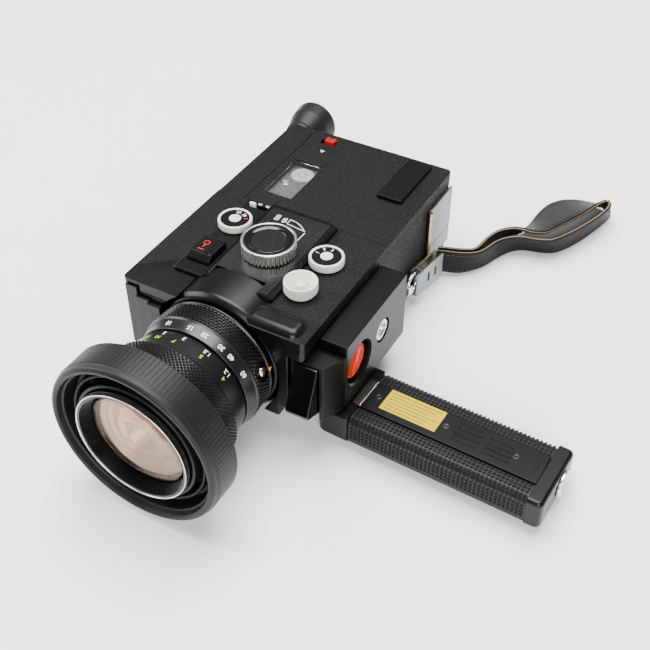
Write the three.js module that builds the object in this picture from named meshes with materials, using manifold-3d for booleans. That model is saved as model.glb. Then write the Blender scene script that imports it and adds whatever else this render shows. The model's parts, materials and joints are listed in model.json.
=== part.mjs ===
// Super 8 cine camera with a fold-away battery grip and a wrist strap.
// The camera's own axes: +X down towards the grip, +Y towards the eyepiece, +Z out of its left side.
// It lies on its right side, so the whole group leans until the lens hood and the rear edge rest.
import * as THREE from "three";
import { mergeVertices } from "three/addons/utils/BufferGeometryUtils.js";
import Module from "manifold-3d";

const wasm = await Module();
wasm.setup();

// Driving dimensions, in millimetres.
const GAP = 0.3; // between pieces that touch
const BODY = { height: 103.3, length: 165, thick: 54 };
const COVER = 5.4; // thickness of the side cover and of the film door
const SEAM = { y: 85.6, x: 16.7 }; // where the film door meets the side cover
const LENS = { x: 52.6, z: -30, seat: 36.2, tube: 27 };
const HOOD = { back: -50, front: -69.5, radius: 46.4, wall: 3 };
const PLATE = { x0: 37, x1: 71.8, y0: 20, y1: 83, top: 3 };
const BASE = { x1: 118.4, y0: 14.5, y1: 78, z0: -46.4, z1: -6.5 };
const GRIP = { root: 123, end: 217, width: 40, z0: -65, z1: -47, rake: 2.3 };
const PIVOT = { x: 111, y: 29.5, radius: 5 };
const CELL = { radius: 7.1, length: 44 };
const STRAP_WIDTH = 15;
const SPINDLE = { x: 34, y: 122 };
const CHAMBER = { x0: 19.5, x1: 99, y0: 88.5, y1: 160, floor: -34 };

// The table touches the back edge of the hood and the rear edge of the right side.
const HOOD_LOW = LENS.z - HOOD.radius;
const LEAN = Math.atan2(-BODY.thick - HOOD_LOW, BODY.length - HOOD.back);

const finish = (color, roughness, metalness = 0) =>
  new THREE.MeshStandardMaterial({ color, roughness, metalness });
const leatherette = finish(0x17181a, 0.75);
const blackPaint = finish(0x1c1d1f, 0.4, 0.2);
const blackPlastic = finish(0x141516, 0.35);
const rubber = finish(0x161719, 0.85);
const nickel = finish(0xc9c9c6, 0.25, 1);
const steel = finish(0x9b9c9c, 0.35, 1);
const anodised = finish(0x4b4845, 0.45, 0.7);
const whitePlastic = finish(0xe4e3dc, 0.4);
const brass = finish(0xb08d4a, 0.35, 1);
const glass = finish(0xd9b59a, 0.05);
const red = finish(0xc8281e, 0.4);
const orange = finish(0xf0481c, 0.4);
const leather = finish(0x1a1a1b, 0.6);
const board = finish(0x2f5b35, 0.6);

// A mesh's positions as a solid, and a solid as geometry again.
function solid(geometry) {
  const bare = geometry.clone();
  bare.deleteAttribute("normal");
  bare.deleteAttribute("uv");
  const merged = mergeVertices(bare, 1e-4);
  const vertProperties = new Float32Array(merged.attributes.position.array);
  const triVerts = new Uint32Array(merged.index.array);
  return new wasm.Manifold(new wasm.Mesh({ numProp: 3, vertProperties, triVerts }));
}

function shaped(made) {
  const mesh = made.getMesh();
  const geometry = new THREE.BufferGeometry();
  geometry.setAttribute("position", new THREE.BufferAttribute(mesh.vertProperties, 3));
  geometry.setIndex(new THREE.BufferAttribute(mesh.triVerts, 1));
  return geometry;
}

const join = (...parts) => shaped(parts.map(solid).reduce((a, b) => a.add(b)));
const cut = (from, ...tools) => shaped(tools.map(solid).reduce((a, b) => a.subtract(b), solid(from)));

const box = (x0, x1, y0, y1, z0, z1) =>
  new THREE.BoxGeometry(x1 - x0, y1 - y0, z1 - z0)
    .translate((x0 + x1) / 2, (y0 + y1) / 2, (z0 + z1) / 2);

// A block seen from the left side with round corners, standing from z0 to z1, its rim chamfered.
function slab(x0, x1, y0, y1, z0, z1, round, chamfer = 0) {
  const [a, b, c, d] = [x0 + chamfer, x1 - chamfer, y0 + chamfer, y1 - chamfer];
  const r = Math.max(round - chamfer, 0.2);
  const shape = new THREE.Shape();
  shape.moveTo(a + r, c).lineTo(b - r, c).absarc(b - r, c + r, r, -Math.PI / 2, 0);
  shape.lineTo(b, d - r).absarc(b - r, d - r, r, 0, Math.PI / 2);
  shape.lineTo(a + r, d).absarc(a + r, d - r, r, Math.PI / 2, Math.PI);
  shape.lineTo(a, c + r).absarc(a + r, c + r, r, Math.PI, Math.PI * 1.5);
  const depth = z1 - z0 - 2 * chamfer;
  const made = new THREE.ExtrudeGeometry(shape, {
    depth, curveSegments: 4, bevelEnabled: chamfer > 0, bevelSegments: 1,
    bevelThickness: chamfer, bevelSize: chamfer,
  });
  return made.translate(0, 0, z0 + chamfer);
}

// A turned piece: pairs of distance along the axis and radius, closed on itself or on the axis.
function turned(profile, sides = 40) {
  const points = profile.map(([along, radius]) => new THREE.Vector2(radius, along));
  if (THREE.ShapeUtils.isClockWise(points)) points.reverse();
  if (profile[0][1] > 0) points.push(points[0].clone());
  return new THREE.LatheGeometry(points, sides);
}
// The turned pieces stand along the lens, along Z or along X; the profile's "along" follows that axis.
const alongLens = (profile, sides) => turned(profile, sides).translate(LENS.x, 0, LENS.z);
const alongZ = (profile, x, y, sides = 32) => turned(profile, sides).rotateX(Math.PI / 2).translate(x, y, 0);
const alongX = (profile, y, z, sides = 24) => turned(profile, sides).rotateZ(-Math.PI / 2).translate(0, y, z);
const alongY = (profile, x, z, sides = 24) => turned(profile, sides).translate(x, 0, z);
const disc = (from, to, radius) => [[from, 0], [from, radius], [to, radius], [to, 0]];
const tube = (from, to, inner, outer) => [[from, inner], [from, outer], [to, outer], [to, inner]];

const camera = new THREE.Group();
function add(name, geometry, material, group = camera) {
  const mesh = new THREE.Mesh(geometry, material);
  mesh.name = name;
  group.add(mesh);
  return mesh;
}

// Body: the front casting round the lens seat, and the main shell with its two bays.
const seat = alongLens(disc(-2, 26, LENS.seat));
const tunnel = alongLens(disc(20, 36, LENS.tube - 4));
const gripRebate = box(88.5, 104, -1, 52, -BODY.thick - 1, BASE.z0);
const frontBlock = slab(0, BODY.height, 0, 30, -BODY.thick, -COVER - GAP, 3);
const triggerRoom = box(94.4, 104, -1, 14.5, -50, -11.3);
add("front_casting", cut(frontBlock, seat, tunnel, gripRebate, triggerRoom), blackPaint);
const shell = slab(0, BODY.height, 30 + GAP, BODY.length, -BODY.thick, -COVER - GAP, 3);
add("body_shell", cut(
  shell,
  gripRebate,
  tunnel,
  box(3, 86, 33, 83.5, -BODY.thick + 3, 0),
  box(80, 100, 54, 83.5, -BODY.thick + 3, 0),
  box(CHAMBER.x0, CHAMBER.x1, CHAMBER.y0, CHAMBER.y1, CHAMBER.floor, 0),
  box(3, 16.5, 80, 160, -BODY.thick + 8, 0),
  alongZ(disc(-44, CHAMBER.floor + 1, 2.4), SPINDLE.x, SPINDLE.y),
), leatherette);
const sideCover = join(
  slab(0, BODY.height, 0, SEAM.y, -COVER, 0, 3, 0.8),
  slab(0, SEAM.x - GAP, SEAM.y - 6, BODY.length, -COVER, 0, 3, 0.8),
);
const shoulder = slab(72, 99, 2, 17, -1, 1.6, 2, 0.5);
add("side_cover", cut(join(sideCover, shoulder), seat, box(22, 34, 80.4, 83, -8, 1)), leatherette);
const nameplate = join(
  box(2, 9, -1.3, -GAP, -41, -3),
  box(8, 16, -2, -GAP, -38, -8),
  box(15, 23, -2.8, -GAP, -30, -9.5),
);
add("nameplate", cut(nameplate, alongLens(disc(-4, 0.5, 33))), anodised);

// Control plate on its black surround, standing on the side cover.
const surround = join(
  slab(PLATE.x0 - 1.5, PLATE.x1 + 1.5, PLATE.y0 - 2, PLATE.y1 + 1.5, GAP, PLATE.top - 1, 2),
  slab(18.5, PLATE.x0 + 2, 17, 45, GAP, PLATE.top - 1, 1.5),
);
add("control_surround", cut(surround, seat, box(20.6, 34.2, 25.6, 42.4, -1, 4)), blackPlastic);
const plate = slab(PLATE.x0, PLATE.x1, PLATE.y0, PLATE.y1, PLATE.top - 1 + GAP, PLATE.top + GAP, 2);
add("control_plate", cut(plate, seat), anodised);

// Lens: neck, fixed tube, zoom ring, focus ring with the front cell, glass and the rubber hood.
add("lens_neck", alongLens([[2.5, 28], [2.5, 33], [8, 34.5], [25, 35.9], [25, 28]]), blackPaint);
add("lens_tube", alongLens(tube(-49, 24.7, LENS.tube - 4.5, LENS.tube)), blackPaint);
const MACRO = { y: -6, angle: 17 };
const buttonHole = box(27.4, 37, MACRO.y - 2.8, MACRO.y + 2.8, -2.8, 2.8)
  .applyMatrix4(new THREE.Matrix4().makeRotationY(THREE.MathUtils.degToRad(-MACRO.angle)))
  .translate(LENS.x, 0, LENS.z);
add("zoom_ring", cut(
  alongLens([[1.8, 27.4], [1.8, 31], [0.5, 31.4], [-12.6, 33.6], [-14, 32.6], [-20.3, 31.6], [-20.3, 27.4]]),
  buttonHole,
), blackPaint);
const buttonTurn = new THREE.Matrix4().makeRotationY(THREE.MathUtils.degToRad(-MACRO.angle))
  .setPosition(LENS.x, 0, LENS.z);
add("macro_button", alongX(disc(28.8, 34.2, 2.4), MACRO.y, 0, 16).applyMatrix4(buttonTurn), nickel);
add("focus_ring", alongLens([
  [-20.8, 27.4], [-20.8, 31], [-22, 31.6], [-33, 33.4], [-34.5, 35.6], [-47, 36], [-48.6, 34.4],
  [-49.4, 34.4], [-49.4, 27.4],
]), blackPaint);
add("front_cell", alongLens([
  [-49.7, 22], [-49.7, 30], [-68.2, 30.4], [-69, 30], [-69, 28.6], [-60, 25.6], [-51.5, 25.6], [-51.5, 22],
]), blackPaint);
add("front_glass", alongLens([
  [-52, 0], [-52, 25.2], [-62.4, 25.2], [-64.8, 19], [-66.2, 12], [-66.8, 0],
]), glass);
add("lens_hood", alongLens([
  [HOOD.back, 32], [HOOD.back, HOOD.radius - 0.6], [HOOD.back - 1, HOOD.radius],
  [HOOD.front + 2, HOOD.radius - 0.4], [HOOD.front, HOOD.radius - 1.8],
  [HOOD.front, HOOD.radius - HOOD.wall - 0.6], [HOOD.back - 4, HOOD.radius - HOOD.wall - 1.2],
  [HOOD.back - 4, 34], [HOOD.front + 4, 33], [HOOD.front + 4, 30.9], [HOOD.back - 2, 30.9],
]), rubber);
add("zoom_glass_group", alongLens(disc(-20, -8, 22)), glass);
add("relay_glass_group", alongLens(disc(8, 16, 14)), glass);

// Controls on the left side.
const DIALS = {
  speed_dial: { x: 25.6, y: 62.8, radius: 9.2, from: GAP, to: 4.6, material: nickel },
  mode_dial: { x: 83, y: 58, radius: 9.2, from: GAP, to: 5, material: nickel },
};
for (const [name, dial] of Object.entries(DIALS)) {
  add(name, alongZ(disc(dial.from, dial.to, dial.radius), dial.x, dial.y), dial.material);
}
const MAIN = { x: 55, y: 49, radius: 14.3, from: PLATE.top + 2 * GAP, to: 11 };
add("main_dial", alongZ([
  [MAIN.from, 0], [MAIN.from, MAIN.radius], [MAIN.to, MAIN.radius],
  [MAIN.to, 11.4], [MAIN.to - 3, 11.4], [MAIN.to - 3, 0],
], MAIN.x, MAIN.y), nickel);
add("release_pad", alongZ([
  [MAIN.to - 1.4, 0], [MAIN.to - 1.4, 11], [MAIN.to - 0.2, 11], [MAIN.to, 9.6], [MAIN.to, 0],
], MAIN.x, MAIN.y), leather);
add("aperture_dial", alongZ([
  [GAP, 0], [GAP, 8.6], [7.4, 8.6], [7.4, 7], [4.2, 6.4], [4.2, 3], [6.6, 2.8], [6.6, 0],
], 83, 32.5), whitePlastic);
add("filter_lever", box(22.6, 26.4, 80.7, 82.7, -3, 2.2), nickel);
add("power_button", slab(21, 33.8, 26, 42, 1.6, 6.2, 1.2, 1), blackPlastic);

// Film door with its window, grip bar, pressure pad and red latch.
const doorPlate = join(
  slab(SEAM.x, BODY.height, SEAM.y + GAP, BODY.length, -COVER, 0, 3, 0.8),
  box(CHAMBER.x0 + 1, CHAMBER.x1 - 1, CHAMBER.y0 + 1, CHAMBER.y1 - 1, -COVER - 1.2, -COVER + 0.5),
);
add("film_door", cut(doorPlate, box(21, 39, 97, 132, -9, 1), box(24.4, 34, 154, 159, -2.4, 1)), leatherette);
add("door_window", box(21.3, 38.7, 97.3, 131.7, -2.4, -0.3), glass);
add("door_grip_bar", slab(78.4, 93, 121, 161, GAP, 2.4, 0.6, 0.4), blackPlastic);
add("door_latch", slab(27.4, 33.4, 154.4, 158.6, -2.1, 2.2, 0.4, 0.3), red);
add("pressure_pad", box(60, 72, 94, 108, -COVER - 5, -COVER - 1.5), steel);

// Film chamber: gate, take-up spindle and the train that drives them, with the shutter.
add("film_gate", cut(box(40, 64, 88.8, 91.4, -33.6, -9), box(47, 57, 88, 92, -26, -17)), steel);
add("takeup_spindle", alongZ([
  [-42, 0], [-42, 2], [CHAMBER.floor + GAP, 2], [CHAMBER.floor + GAP, 4], [-14, 3.4], [-12, 0],
], SPINDLE.x, SPINDLE.y, 16), nickel);
const SHUTTER = { x: 34, y: 45, z: -28 };
add("shutter", alongY([
  [36, 0], [36, 1.5], [44, 1.5], [44, 12], [45, 12], [45, 1.5], [70, 1.5], [70, 0],
], SHUTTER.x, SHUTTER.z, 24), steel);
add("drive_gear", alongY(tube(62, 66, 1.8, 9), SHUTTER.x, SHUTTER.z, 24), brass);
add("motor", alongY(disc(50, 82, 11), 72, -34, 28), steel);
add("circuit_board", box(6, 84, 36, 80, -49.5, -48), board);

// Finder along the top of the body, its eyepiece and the rubber eyecup.
const FINDER = { x: -0.5, z: -14.5 };
add("finder_housing", slab(-7.5, -GAP, 60, 164, -26, -11, 3), blackPaint);
add("eyepiece_tube", alongY(tube(BODY.length + GAP, 178, 6, 7.6), FINDER.x, FINDER.z, 28), blackPaint);
add("eyepiece_lens", alongY([
  [170, 0], [170, 5.6], [173, 5.6], [174, 3], [174.3, 0],
], FINDER.x, FINDER.z, 20), glass);
add("eyecup", alongY([
  [172, 8], [172, 9.6], [178, 11], [184, 13], [193, 14], [193.8, 13], [186, 10.8], [178.4, 6.4], [178.4, 8],
], FINDER.x, FINDER.z, 28), rubber);

// Base under the body with the tripod bush and the release button, and the trigger block in front of it.
const baseBlock = slab(BODY.height + GAP, BASE.x1, BASE.y0, BASE.y1, BASE.z0, BASE.z1, 1.2, 1);
add("base_block", cut(
  baseBlock,
  alongX(disc(110, 120, 6.8), 52.5, -24.7),
  alongX(disc(109.4, 120, 11.5), 28, -26.5, 32),
  alongZ(disc(BASE.z0 - 1, -40.2, PIVOT.radius + GAP), PIVOT.x, PIVOT.y),
), blackPaint);
add("tripod_bush", alongX(tube(110.3, 118.8, 3.2, 6.5), 52.5, -24.7, 28), nickel);
add("release_button", alongX([
  [111.8, 0], [111.8, 9.4], [115.4, 9.4], [116.4, 8], [116.8, 0],
], 28, -26.5, 28), orange);
const blockOutline = new THREE.Shape();
blockOutline.moveTo(95, 1.6).lineTo(112.6, 1.6).lineTo(118, 12.4).lineTo(118, 14.2).lineTo(95, 14.2);
const triggerBlock = new THREE.ExtrudeGeometry(blockOutline, { depth: 34, bevelEnabled: false });
triggerBlock.translate(0, 0, BASE.z0);
add("trigger_block", cut(triggerBlock, box(97, 110.4, 0, 11.8, -60, -13.6)), blackPaint);
const triggerSide = new THREE.Shape();
triggerSide.moveTo(2.6, -14).lineTo(1, -14.6).lineTo(-8.8, -37).lineTo(-8, -39.2).lineTo(3.6, -43.6);
triggerSide.lineTo(4.4, -43).lineTo(4.4, -15);
const trigger = new THREE.ExtrudeGeometry(triggerSide, { depth: 12.4, bevelEnabled: false });
trigger.applyMatrix4(new THREE.Matrix4().makeBasis(
  new THREE.Vector3(0, 1, 0), new THREE.Vector3(0, 0, 1), new THREE.Vector3(1, 0, 0),
)).translate(97.5, 0, 0);
add("trigger", trigger, blackPlastic);

// Hinged steel door at the rear of the body's underside.
const DOOR_PIN = { x: 104.9, y: 135.6 };
add("battery_door", join(
  slab(BODY.height + GAP, BODY.height + 1.5, DOOR_PIN.y, 164.6, -35.3, -9.6, 0.4),
  alongZ(disc(-35, -10, 1.3), DOOR_PIN.x, DOOR_PIN.y, 12),
), steel);
add("rear_plate", slab(BODY.height + GAP, BODY.height + 1.5, 136, 164.6, -47, -35.7, 0.4), steel);

// Strap: lug, ring and clasp.
const RING = { x: 107.3, y: 110.5, z: -41, radius: 6, wire: 0.9 };
add("strap_lug", cut(
  box(BODY.height + GAP, 109.6, 102.6, 106.4, -43.4, -38.6),
  alongZ(disc(-50, -30, 1.6), RING.x, RING.y - RING.radius, 12),
), nickel);
const ringWire = new THREE.TorusGeometry(RING.radius, RING.wire, 6, 20);
add("strap_ring", ringWire.rotateY(Math.PI / 2).translate(RING.x, RING.y, RING.z), nickel);
const claspGroup = new THREE.Group();
claspGroup.position.set(RING.x, RING.y + RING.radius, RING.z - 3);
claspGroup.rotation.z = THREE.MathUtils.degToRad(-9);
camera.add(claspGroup);
add("strap_clasp", cut(
  box(-3, 3, -2.6, 22, -8, 8),
  box(-1.8, 1.8, -4, 1.4, -4.4, 9), box(-1.6, 1.6, 3, 23, -9, 9),
), brass, claspGroup);

// The wrist strap lies on the table: a doubled band on edge that turns flat towards its loop.
const table = new THREE.Group();
table.position.set(0, BODY.length, -BODY.thick);
table.rotation.x = LEAN;
camera.add(table);
function band(route, half, low, high) {
  const points = route.map(([x, y]) => new THREE.Vector2(x, y - BODY.length));
  const side = (sign) => points.map((point, i) => {
    const next = points[Math.min(i + 1, points.length - 1)];
    const along = next.clone().sub(points[Math.max(i - 1, 0)]).normalize();
    return point.clone().add(new THREE.Vector2(-along.y, along.x).multiplyScalar(sign * half(i)));
  });
  const shape = new THREE.Shape([...side(-1), ...side(1).reverse()]);
  return new THREE.ExtrudeGeometry(shape, { depth: high - low, bevelEnabled: false }).translate(0, 0, low);
}
const STRAP_ROUTE = {
  lifted: [[109.6, 132], [110.8, 139.5], [113, 143], [120.4, 149]],
  standing: [[119, 147.5], [125, 156.5], [130, 169], [136.5, 179], [145, 184.5], [152, 188]],
  flat: [[143, 183], [150, 190], [157, 202], [161.5, 213], [165, 226], [167.5, 240]],
};
add("wrist_strap", join(
  band(STRAP_ROUTE.lifted, (i) => (i < 2 ? 0.9 : 2.4), 3.4, 3.4 + STRAP_WIDTH),
  band(STRAP_ROUTE.standing, () => 2.8, 0.5, 0.5 + STRAP_WIDTH),
  band(STRAP_ROUTE.flat, (i) => 4 + 1.6 * i, 0.5, 10),
), leather, table);

// Battery grip: it turns on the pivot pin under the base and leans a little forward.
add("grip_pivot", alongZ(disc(-62, -40.5, PIVOT.radius), PIVOT.x, PIVOT.y), steel);
const grip = new THREE.Group();
grip.position.set(PIVOT.x, PIVOT.y, 0);
grip.rotation.z = THREE.MathUtils.degToRad(-GRIP.rake);
camera.add(grip);
const half = GRIP.width / 2;
const at = (x) => x - PIVOT.x;
add("grip_collar", cut(
  slab(-7, at(GRIP.root) - GAP, -half, half, GRIP.z0, GRIP.z1 - 0.4, 6, 1.5),
  alongZ(disc(-70, -40, PIVOT.radius + GAP), 0, 0),
), blackPaint, grip);
const latchPlate = box(8.4, at(GRIP.root) + 0.8, -10, 10, GRIP.z1 - 0.1, BASE.z0 - GAP);
add("grip_latch_plate", latchPlate, brass, grip);
const gripShell = slab(at(GRIP.root), at(GRIP.end), -half, half, GRIP.z0, GRIP.z1 - 0.4, 0.6, 2);
const batteryRoom = box(at(GRIP.root) + 2, at(GRIP.end) + 1, -15.6, 15.6, -63.6, -48.6);
add("grip_shell", cut(gripShell, batteryRoom), rubber, grip);
const strip = box(at(GRIP.root) + 1.1, at(GRIP.end) - 1, -9.5, 9.5, GRIP.z1 - 0.1, -46.6);
add("grip_strip", strip, blackPlastic, grip);
const endCap = slab(at(GRIP.end) + GAP, at(225), -half, half, GRIP.z0, GRIP.z1 - 0.4, 3.6, 1.5);
add("grip_end_cap", endCap, blackPaint, grip);
add("battery_cap", alongX(disc(at(225) + GAP, at(226.6), 7), 5, -56.2, 24), steel, grip);
for (const column of [-1, 1]) {
  for (const row of [0, 1]) {
    const start = at(GRIP.root) + 2.6 + row * (CELL.length + GAP);
    const cell = alongX(disc(start, start + CELL.length, CELL.radius), column * (CELL.radius + 0.4), -56.2, 20);
    add(`battery_${column < 0 ? "front" : "rear"}_${row + 1}`, cell, steel, grip);
  }
}

// The camera leans on the table, with the middle of its lowest plane as the origin.
camera.rotation.x = -LEAN;
const part = new THREE.Group();
part.add(camera);
const extent = new THREE.Box3().setFromObject(part, true);
const middle = extent.getCenter(new THREE.Vector3());
camera.position.set(-middle.x, -middle.y, -extent.min.z);

export default part;
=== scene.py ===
# An 8 mm cine camera lying on its right side, with its battery grip out and its wrist strap laid behind it.
# Each section makes one piece, or one group of like pieces, in the order that the camera goes together.
import json
import math

import bmesh
import bpy
from mathutils import Matrix, Vector


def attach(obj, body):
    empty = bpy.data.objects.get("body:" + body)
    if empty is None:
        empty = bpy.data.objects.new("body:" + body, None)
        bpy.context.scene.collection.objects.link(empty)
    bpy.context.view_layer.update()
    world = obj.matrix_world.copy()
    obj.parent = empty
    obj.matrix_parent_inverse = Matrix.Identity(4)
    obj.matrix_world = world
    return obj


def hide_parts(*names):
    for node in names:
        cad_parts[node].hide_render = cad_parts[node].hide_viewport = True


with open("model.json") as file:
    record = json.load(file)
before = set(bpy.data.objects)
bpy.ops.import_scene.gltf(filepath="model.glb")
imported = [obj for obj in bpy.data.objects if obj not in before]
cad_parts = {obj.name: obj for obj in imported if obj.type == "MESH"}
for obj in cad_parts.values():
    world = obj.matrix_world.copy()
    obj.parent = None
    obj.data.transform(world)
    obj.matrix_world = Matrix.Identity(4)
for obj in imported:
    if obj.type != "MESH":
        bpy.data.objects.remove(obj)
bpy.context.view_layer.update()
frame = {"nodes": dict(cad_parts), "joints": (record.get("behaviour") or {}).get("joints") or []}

# The camera's own axes, in millimetres: X from its top down to the grip, Y from the lens to the eyepiece,
# Z out of its left side. The camera leans, so they are read off two joints: the main dial and the shutter shaft.
joints = {joint["name"]: joint for joint in frame["joints"]}
out = Vector(joints["main_dial_turn"]["axis"])
rear = Vector(joints["shutter_spin"]["axis"])
TURN = Matrix((rear.cross(out), rear, out)).transposed()
MAIN_DIAL = Vector((55, 49, 6))
corner = Vector(joints["main_dial_turn"]["pos_m"]) - TURN @ MAIN_DIAL / 1000
BODY_AXES = Matrix.Translation(corner) @ TURN.to_4x4() @ Matrix.Scale(0.001, 4)

# Point of view: a catalogue camera with a 58 mm lens, above and in front of the left side.
AZIMUTH, ELEVATION = math.radians(29.4), math.radians(42)
AIM = Vector((104.8, 17.6, 0))
DISTANCE = 488.7
VIEW_LENS, VIEW_SENSOR = 57.88, 36
back = Vector((math.sin(AZIMUTH) * math.cos(ELEVATION), -math.cos(AZIMUTH) * math.cos(ELEVATION),
               math.sin(ELEVATION)))
right = Vector((math.cos(AZIMUTH), math.sin(AZIMUTH), 0))
lens_data = bpy.data.cameras.new("view")
lens_data.lens, lens_data.sensor_width, lens_data.clip_start = VIEW_LENS, VIEW_SENSOR, 0.01
view = bpy.data.objects.new("view", lens_data)
view.matrix_world = Matrix.Translation(BODY_AXES @ (AIM + back * DISTANCE)) @ (
    TURN @ Matrix((right, back.cross(right), back)).transposed()
).to_4x4()
bpy.context.scene.collection.objects.link(view)
bpy.context.scene.camera = view


# Table and light: a seamless white sheet under three soft boxes, as for a catalogue shot.
# The boxes are large, so that the rounded black edges each carry one long clean highlight.
def srgb(code):
    """A colour from its sRGB hex code, in linear light."""
    channels = [int(code[i:i + 2], 16) / 255 for i in (1, 3, 5)]
    return [c / 12.92 if c <= 0.04045 else ((c + 0.055) / 1.055) ** 2.4 for c in channels] + [1]


def add_node(tree, kind, settings=None, links=None):
    """A node with its settings, by attribute or by socket, and the sockets that feed it."""
    node = tree.nodes.new(kind)
    for key, value in (settings or {}).items():
        if isinstance(key, str) and hasattr(node, key):
            setattr(node, key, value)
        else:
            node.inputs[key].default_value = value
    for key, source in (links or {}).items():
        tree.links.new(source, node.inputs[key])
    return node


def new_material(name, color, **sockets):
    """A material with its uniform values set on the shader, its tree, its shader and its Object coordinates."""
    material = bpy.data.materials.new(name)
    material.use_nodes = True
    tree = material.node_tree
    shader = tree.nodes["Principled BSDF"]
    shader.inputs["Base Color"].default_value = srgb(color)
    for key, value in sockets.items():
        shader.inputs[key.replace("_", " ")].default_value = value
    return material, tree, shader, add_node(tree, "ShaderNodeTexCoord").outputs["Object"]


def hazed(name, color, size, low, high, **sockets):
    """A material whose roughness drifts between two values, over patches of that size in millimetres."""
    material, tree, shader, place = new_material(name, color, **sockets)
    patches = add_node(tree, "ShaderNodeTexNoise", {"Scale": 1000 / size, "Detail": 4}, {"Vector": place})
    sheen = add_node(tree, "ShaderNodeMapRange", {"To Min": low, "To Max": high},
                     {"Value": patches.outputs[0]})
    tree.links.new(sheen.outputs[0], shader.inputs["Roughness"])
    return material


# Matt white paper: a faint fibre shade keeps it from looking like an empty backdrop.
PAPER, tree, shader, place = new_material("matt white background paper", "#f6f6f6", Roughness=0.9)
fibres = add_node(tree, "ShaderNodeTexNoise", {"Scale": 1000 / 40, "Detail": 4}, {"Vector": place})
shade = add_node(tree, "ShaderNodeMapRange", {"To Min": 0.95, "To Max": 0.99}, {"Value": fibres.outputs[0]})
tree.links.new(shade.outputs[0], shader.inputs["Base Color"])
sheet_size = 3.0
paper = bpy.data.meshes.new("paper")
half = sheet_size / 2
paper.from_pydata([(-half, -half, 0), (half, -half, 0), (half, half, 0), (-half, half, 0)], [], [(0, 1, 2, 3)])
paper.materials.append(PAPER)
floor = bpy.data.objects.new("floor", paper)
bpy.context.scene.collection.objects.link(floor)

world = bpy.data.worlds.new("studio")
world.use_nodes = True
world.node_tree.nodes["Background"].inputs["Color"].default_value = srgb("#ffffff")
world.node_tree.nodes["Background"].inputs["Strength"].default_value = 0.35
bpy.context.scene.world = world
for name, spot, size, power in (
    ("top_box", (-0.1, 0.25, 1.1), 0.9, 38),
    ("front_box", (0.5, -0.95, 0.7), 0.7, 17),
    ("side_box", (-1.0, -0.2, 0.6), 0.6, 11),
):
    data = bpy.data.lights.new(name, "AREA")
    data.size, data.energy = size, power
    lamp = bpy.data.objects.new(name, data)
    lamp.matrix_world = Matrix.Translation(spot) @ Vector(spot).to_track_quat("Z", "Y").to_matrix().to_4x4()
    bpy.context.scene.collection.objects.link(lamp)


# Front casting: the die-cast aluminium nose that carries the lens seat, in satin black enamel.
# Its edges are broken by tumbling, so they shine as thin bright lines.
def from_lists(verts, faces):
    mesh = bpy.data.meshes.new("shape")
    mesh.from_pydata([tuple(v) for v in verts], [], faces)
    made = bmesh.new()
    made.from_mesh(mesh)
    bpy.data.meshes.remove(mesh)
    return made


def as_mesh(made, name="shape"):
    """The bmesh as a mesh, with its faces turned outwards."""
    bmesh.ops.recalc_face_normals(made, faces=made.faces)
    mesh = bpy.data.meshes.new(name)
    made.to_mesh(mesh)
    made.free()
    return mesh


def put(name, mesh, material, body, replaces=(), crease=35, axes=BODY_AXES):
    """Stands a finished mesh in the camera's axes, smooth up to its creases, and rides it on its body."""
    mesh.transform(axes)
    mesh.materials.clear()
    for each in material if isinstance(material, (list, tuple)) else [material]:
        mesh.materials.append(each)
    mesh.polygons.foreach_set("use_smooth", [True] * len(mesh.polygons))
    mesh.set_sharp_from_angle(angle=math.radians(crease))
    piece = bpy.data.objects.new(name, mesh)
    bpy.context.scene.collection.objects.link(piece)
    # Large faces lead the shading, so that each rounded edge shows as a clean line beside a flat face.
    even = piece.modifiers.new("even", "WEIGHTED_NORMAL")
    even.keep_sharp = True
    piece.data = bpy.data.meshes.new_from_object(piece.evaluated_get(bpy.context.evaluated_depsgraph_get()))
    piece.modifiers.clear()
    piece.data.name = name
    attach(piece, body)
    if replaces:
        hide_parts(*replaces)
    return piece


def eased(node, width, segments=3):
    """A merged copy of a CAD node, its hard edges eased by a radius in millimetres; it is in metres already."""
    made = bmesh.new()
    made.from_mesh(frame["nodes"][node].data)
    bmesh.ops.remove_doubles(made, verts=made.verts, dist=2e-5)
    bmesh.ops.dissolve_limit(made, angle_limit=math.radians(1), verts=made.verts, edges=made.edges)
    hard = [e for e in made.edges if len(e.link_faces) == 2 and e.calc_face_angle(0) > math.radians(30)]
    bmesh.ops.bevel(
        made, geom=hard, offset=width / 1000, segments=segments, profile=0.6, affect="EDGES",
        clamp_overlap=True,
    )
    return as_mesh(made)


# Satin enamel on cast metal: a low broad sheen, with the fine orange peel of a sprayed coat.
ENAMEL, tree, shader, place = new_material(
    "satin black enamel on die-cast aluminium", "#050506", Specular_IOR_Level=0.25,
)
peel = add_node(tree, "ShaderNodeTexNoise", {"Scale": 1000 / 0.6, "Detail": 2}, {"Vector": place})
handled = add_node(tree, "ShaderNodeTexNoise", {"Scale": 1000 / 14, "Detail": 5}, {"Vector": place})
sheen = add_node(tree, "ShaderNodeMapRange", {"To Min": 0.24, "To Max": 0.36}, {"Value": handled.outputs[0]})
bump = add_node(tree, "ShaderNodeBump", {"Strength": 0.12, "Distance": 0.0001}, {"Height": peel.outputs[0]})
tree.links.new(sheen.outputs[0], shader.inputs["Roughness"])
tree.links.new(bump.outputs[0], shader.inputs["Normal"])
METRES = Matrix.Identity(4)
put("front_nose", eased("front_casting", 0.7), ENAMEL, "camera_body", ["front_casting"],
    axes=METRES)

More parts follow.
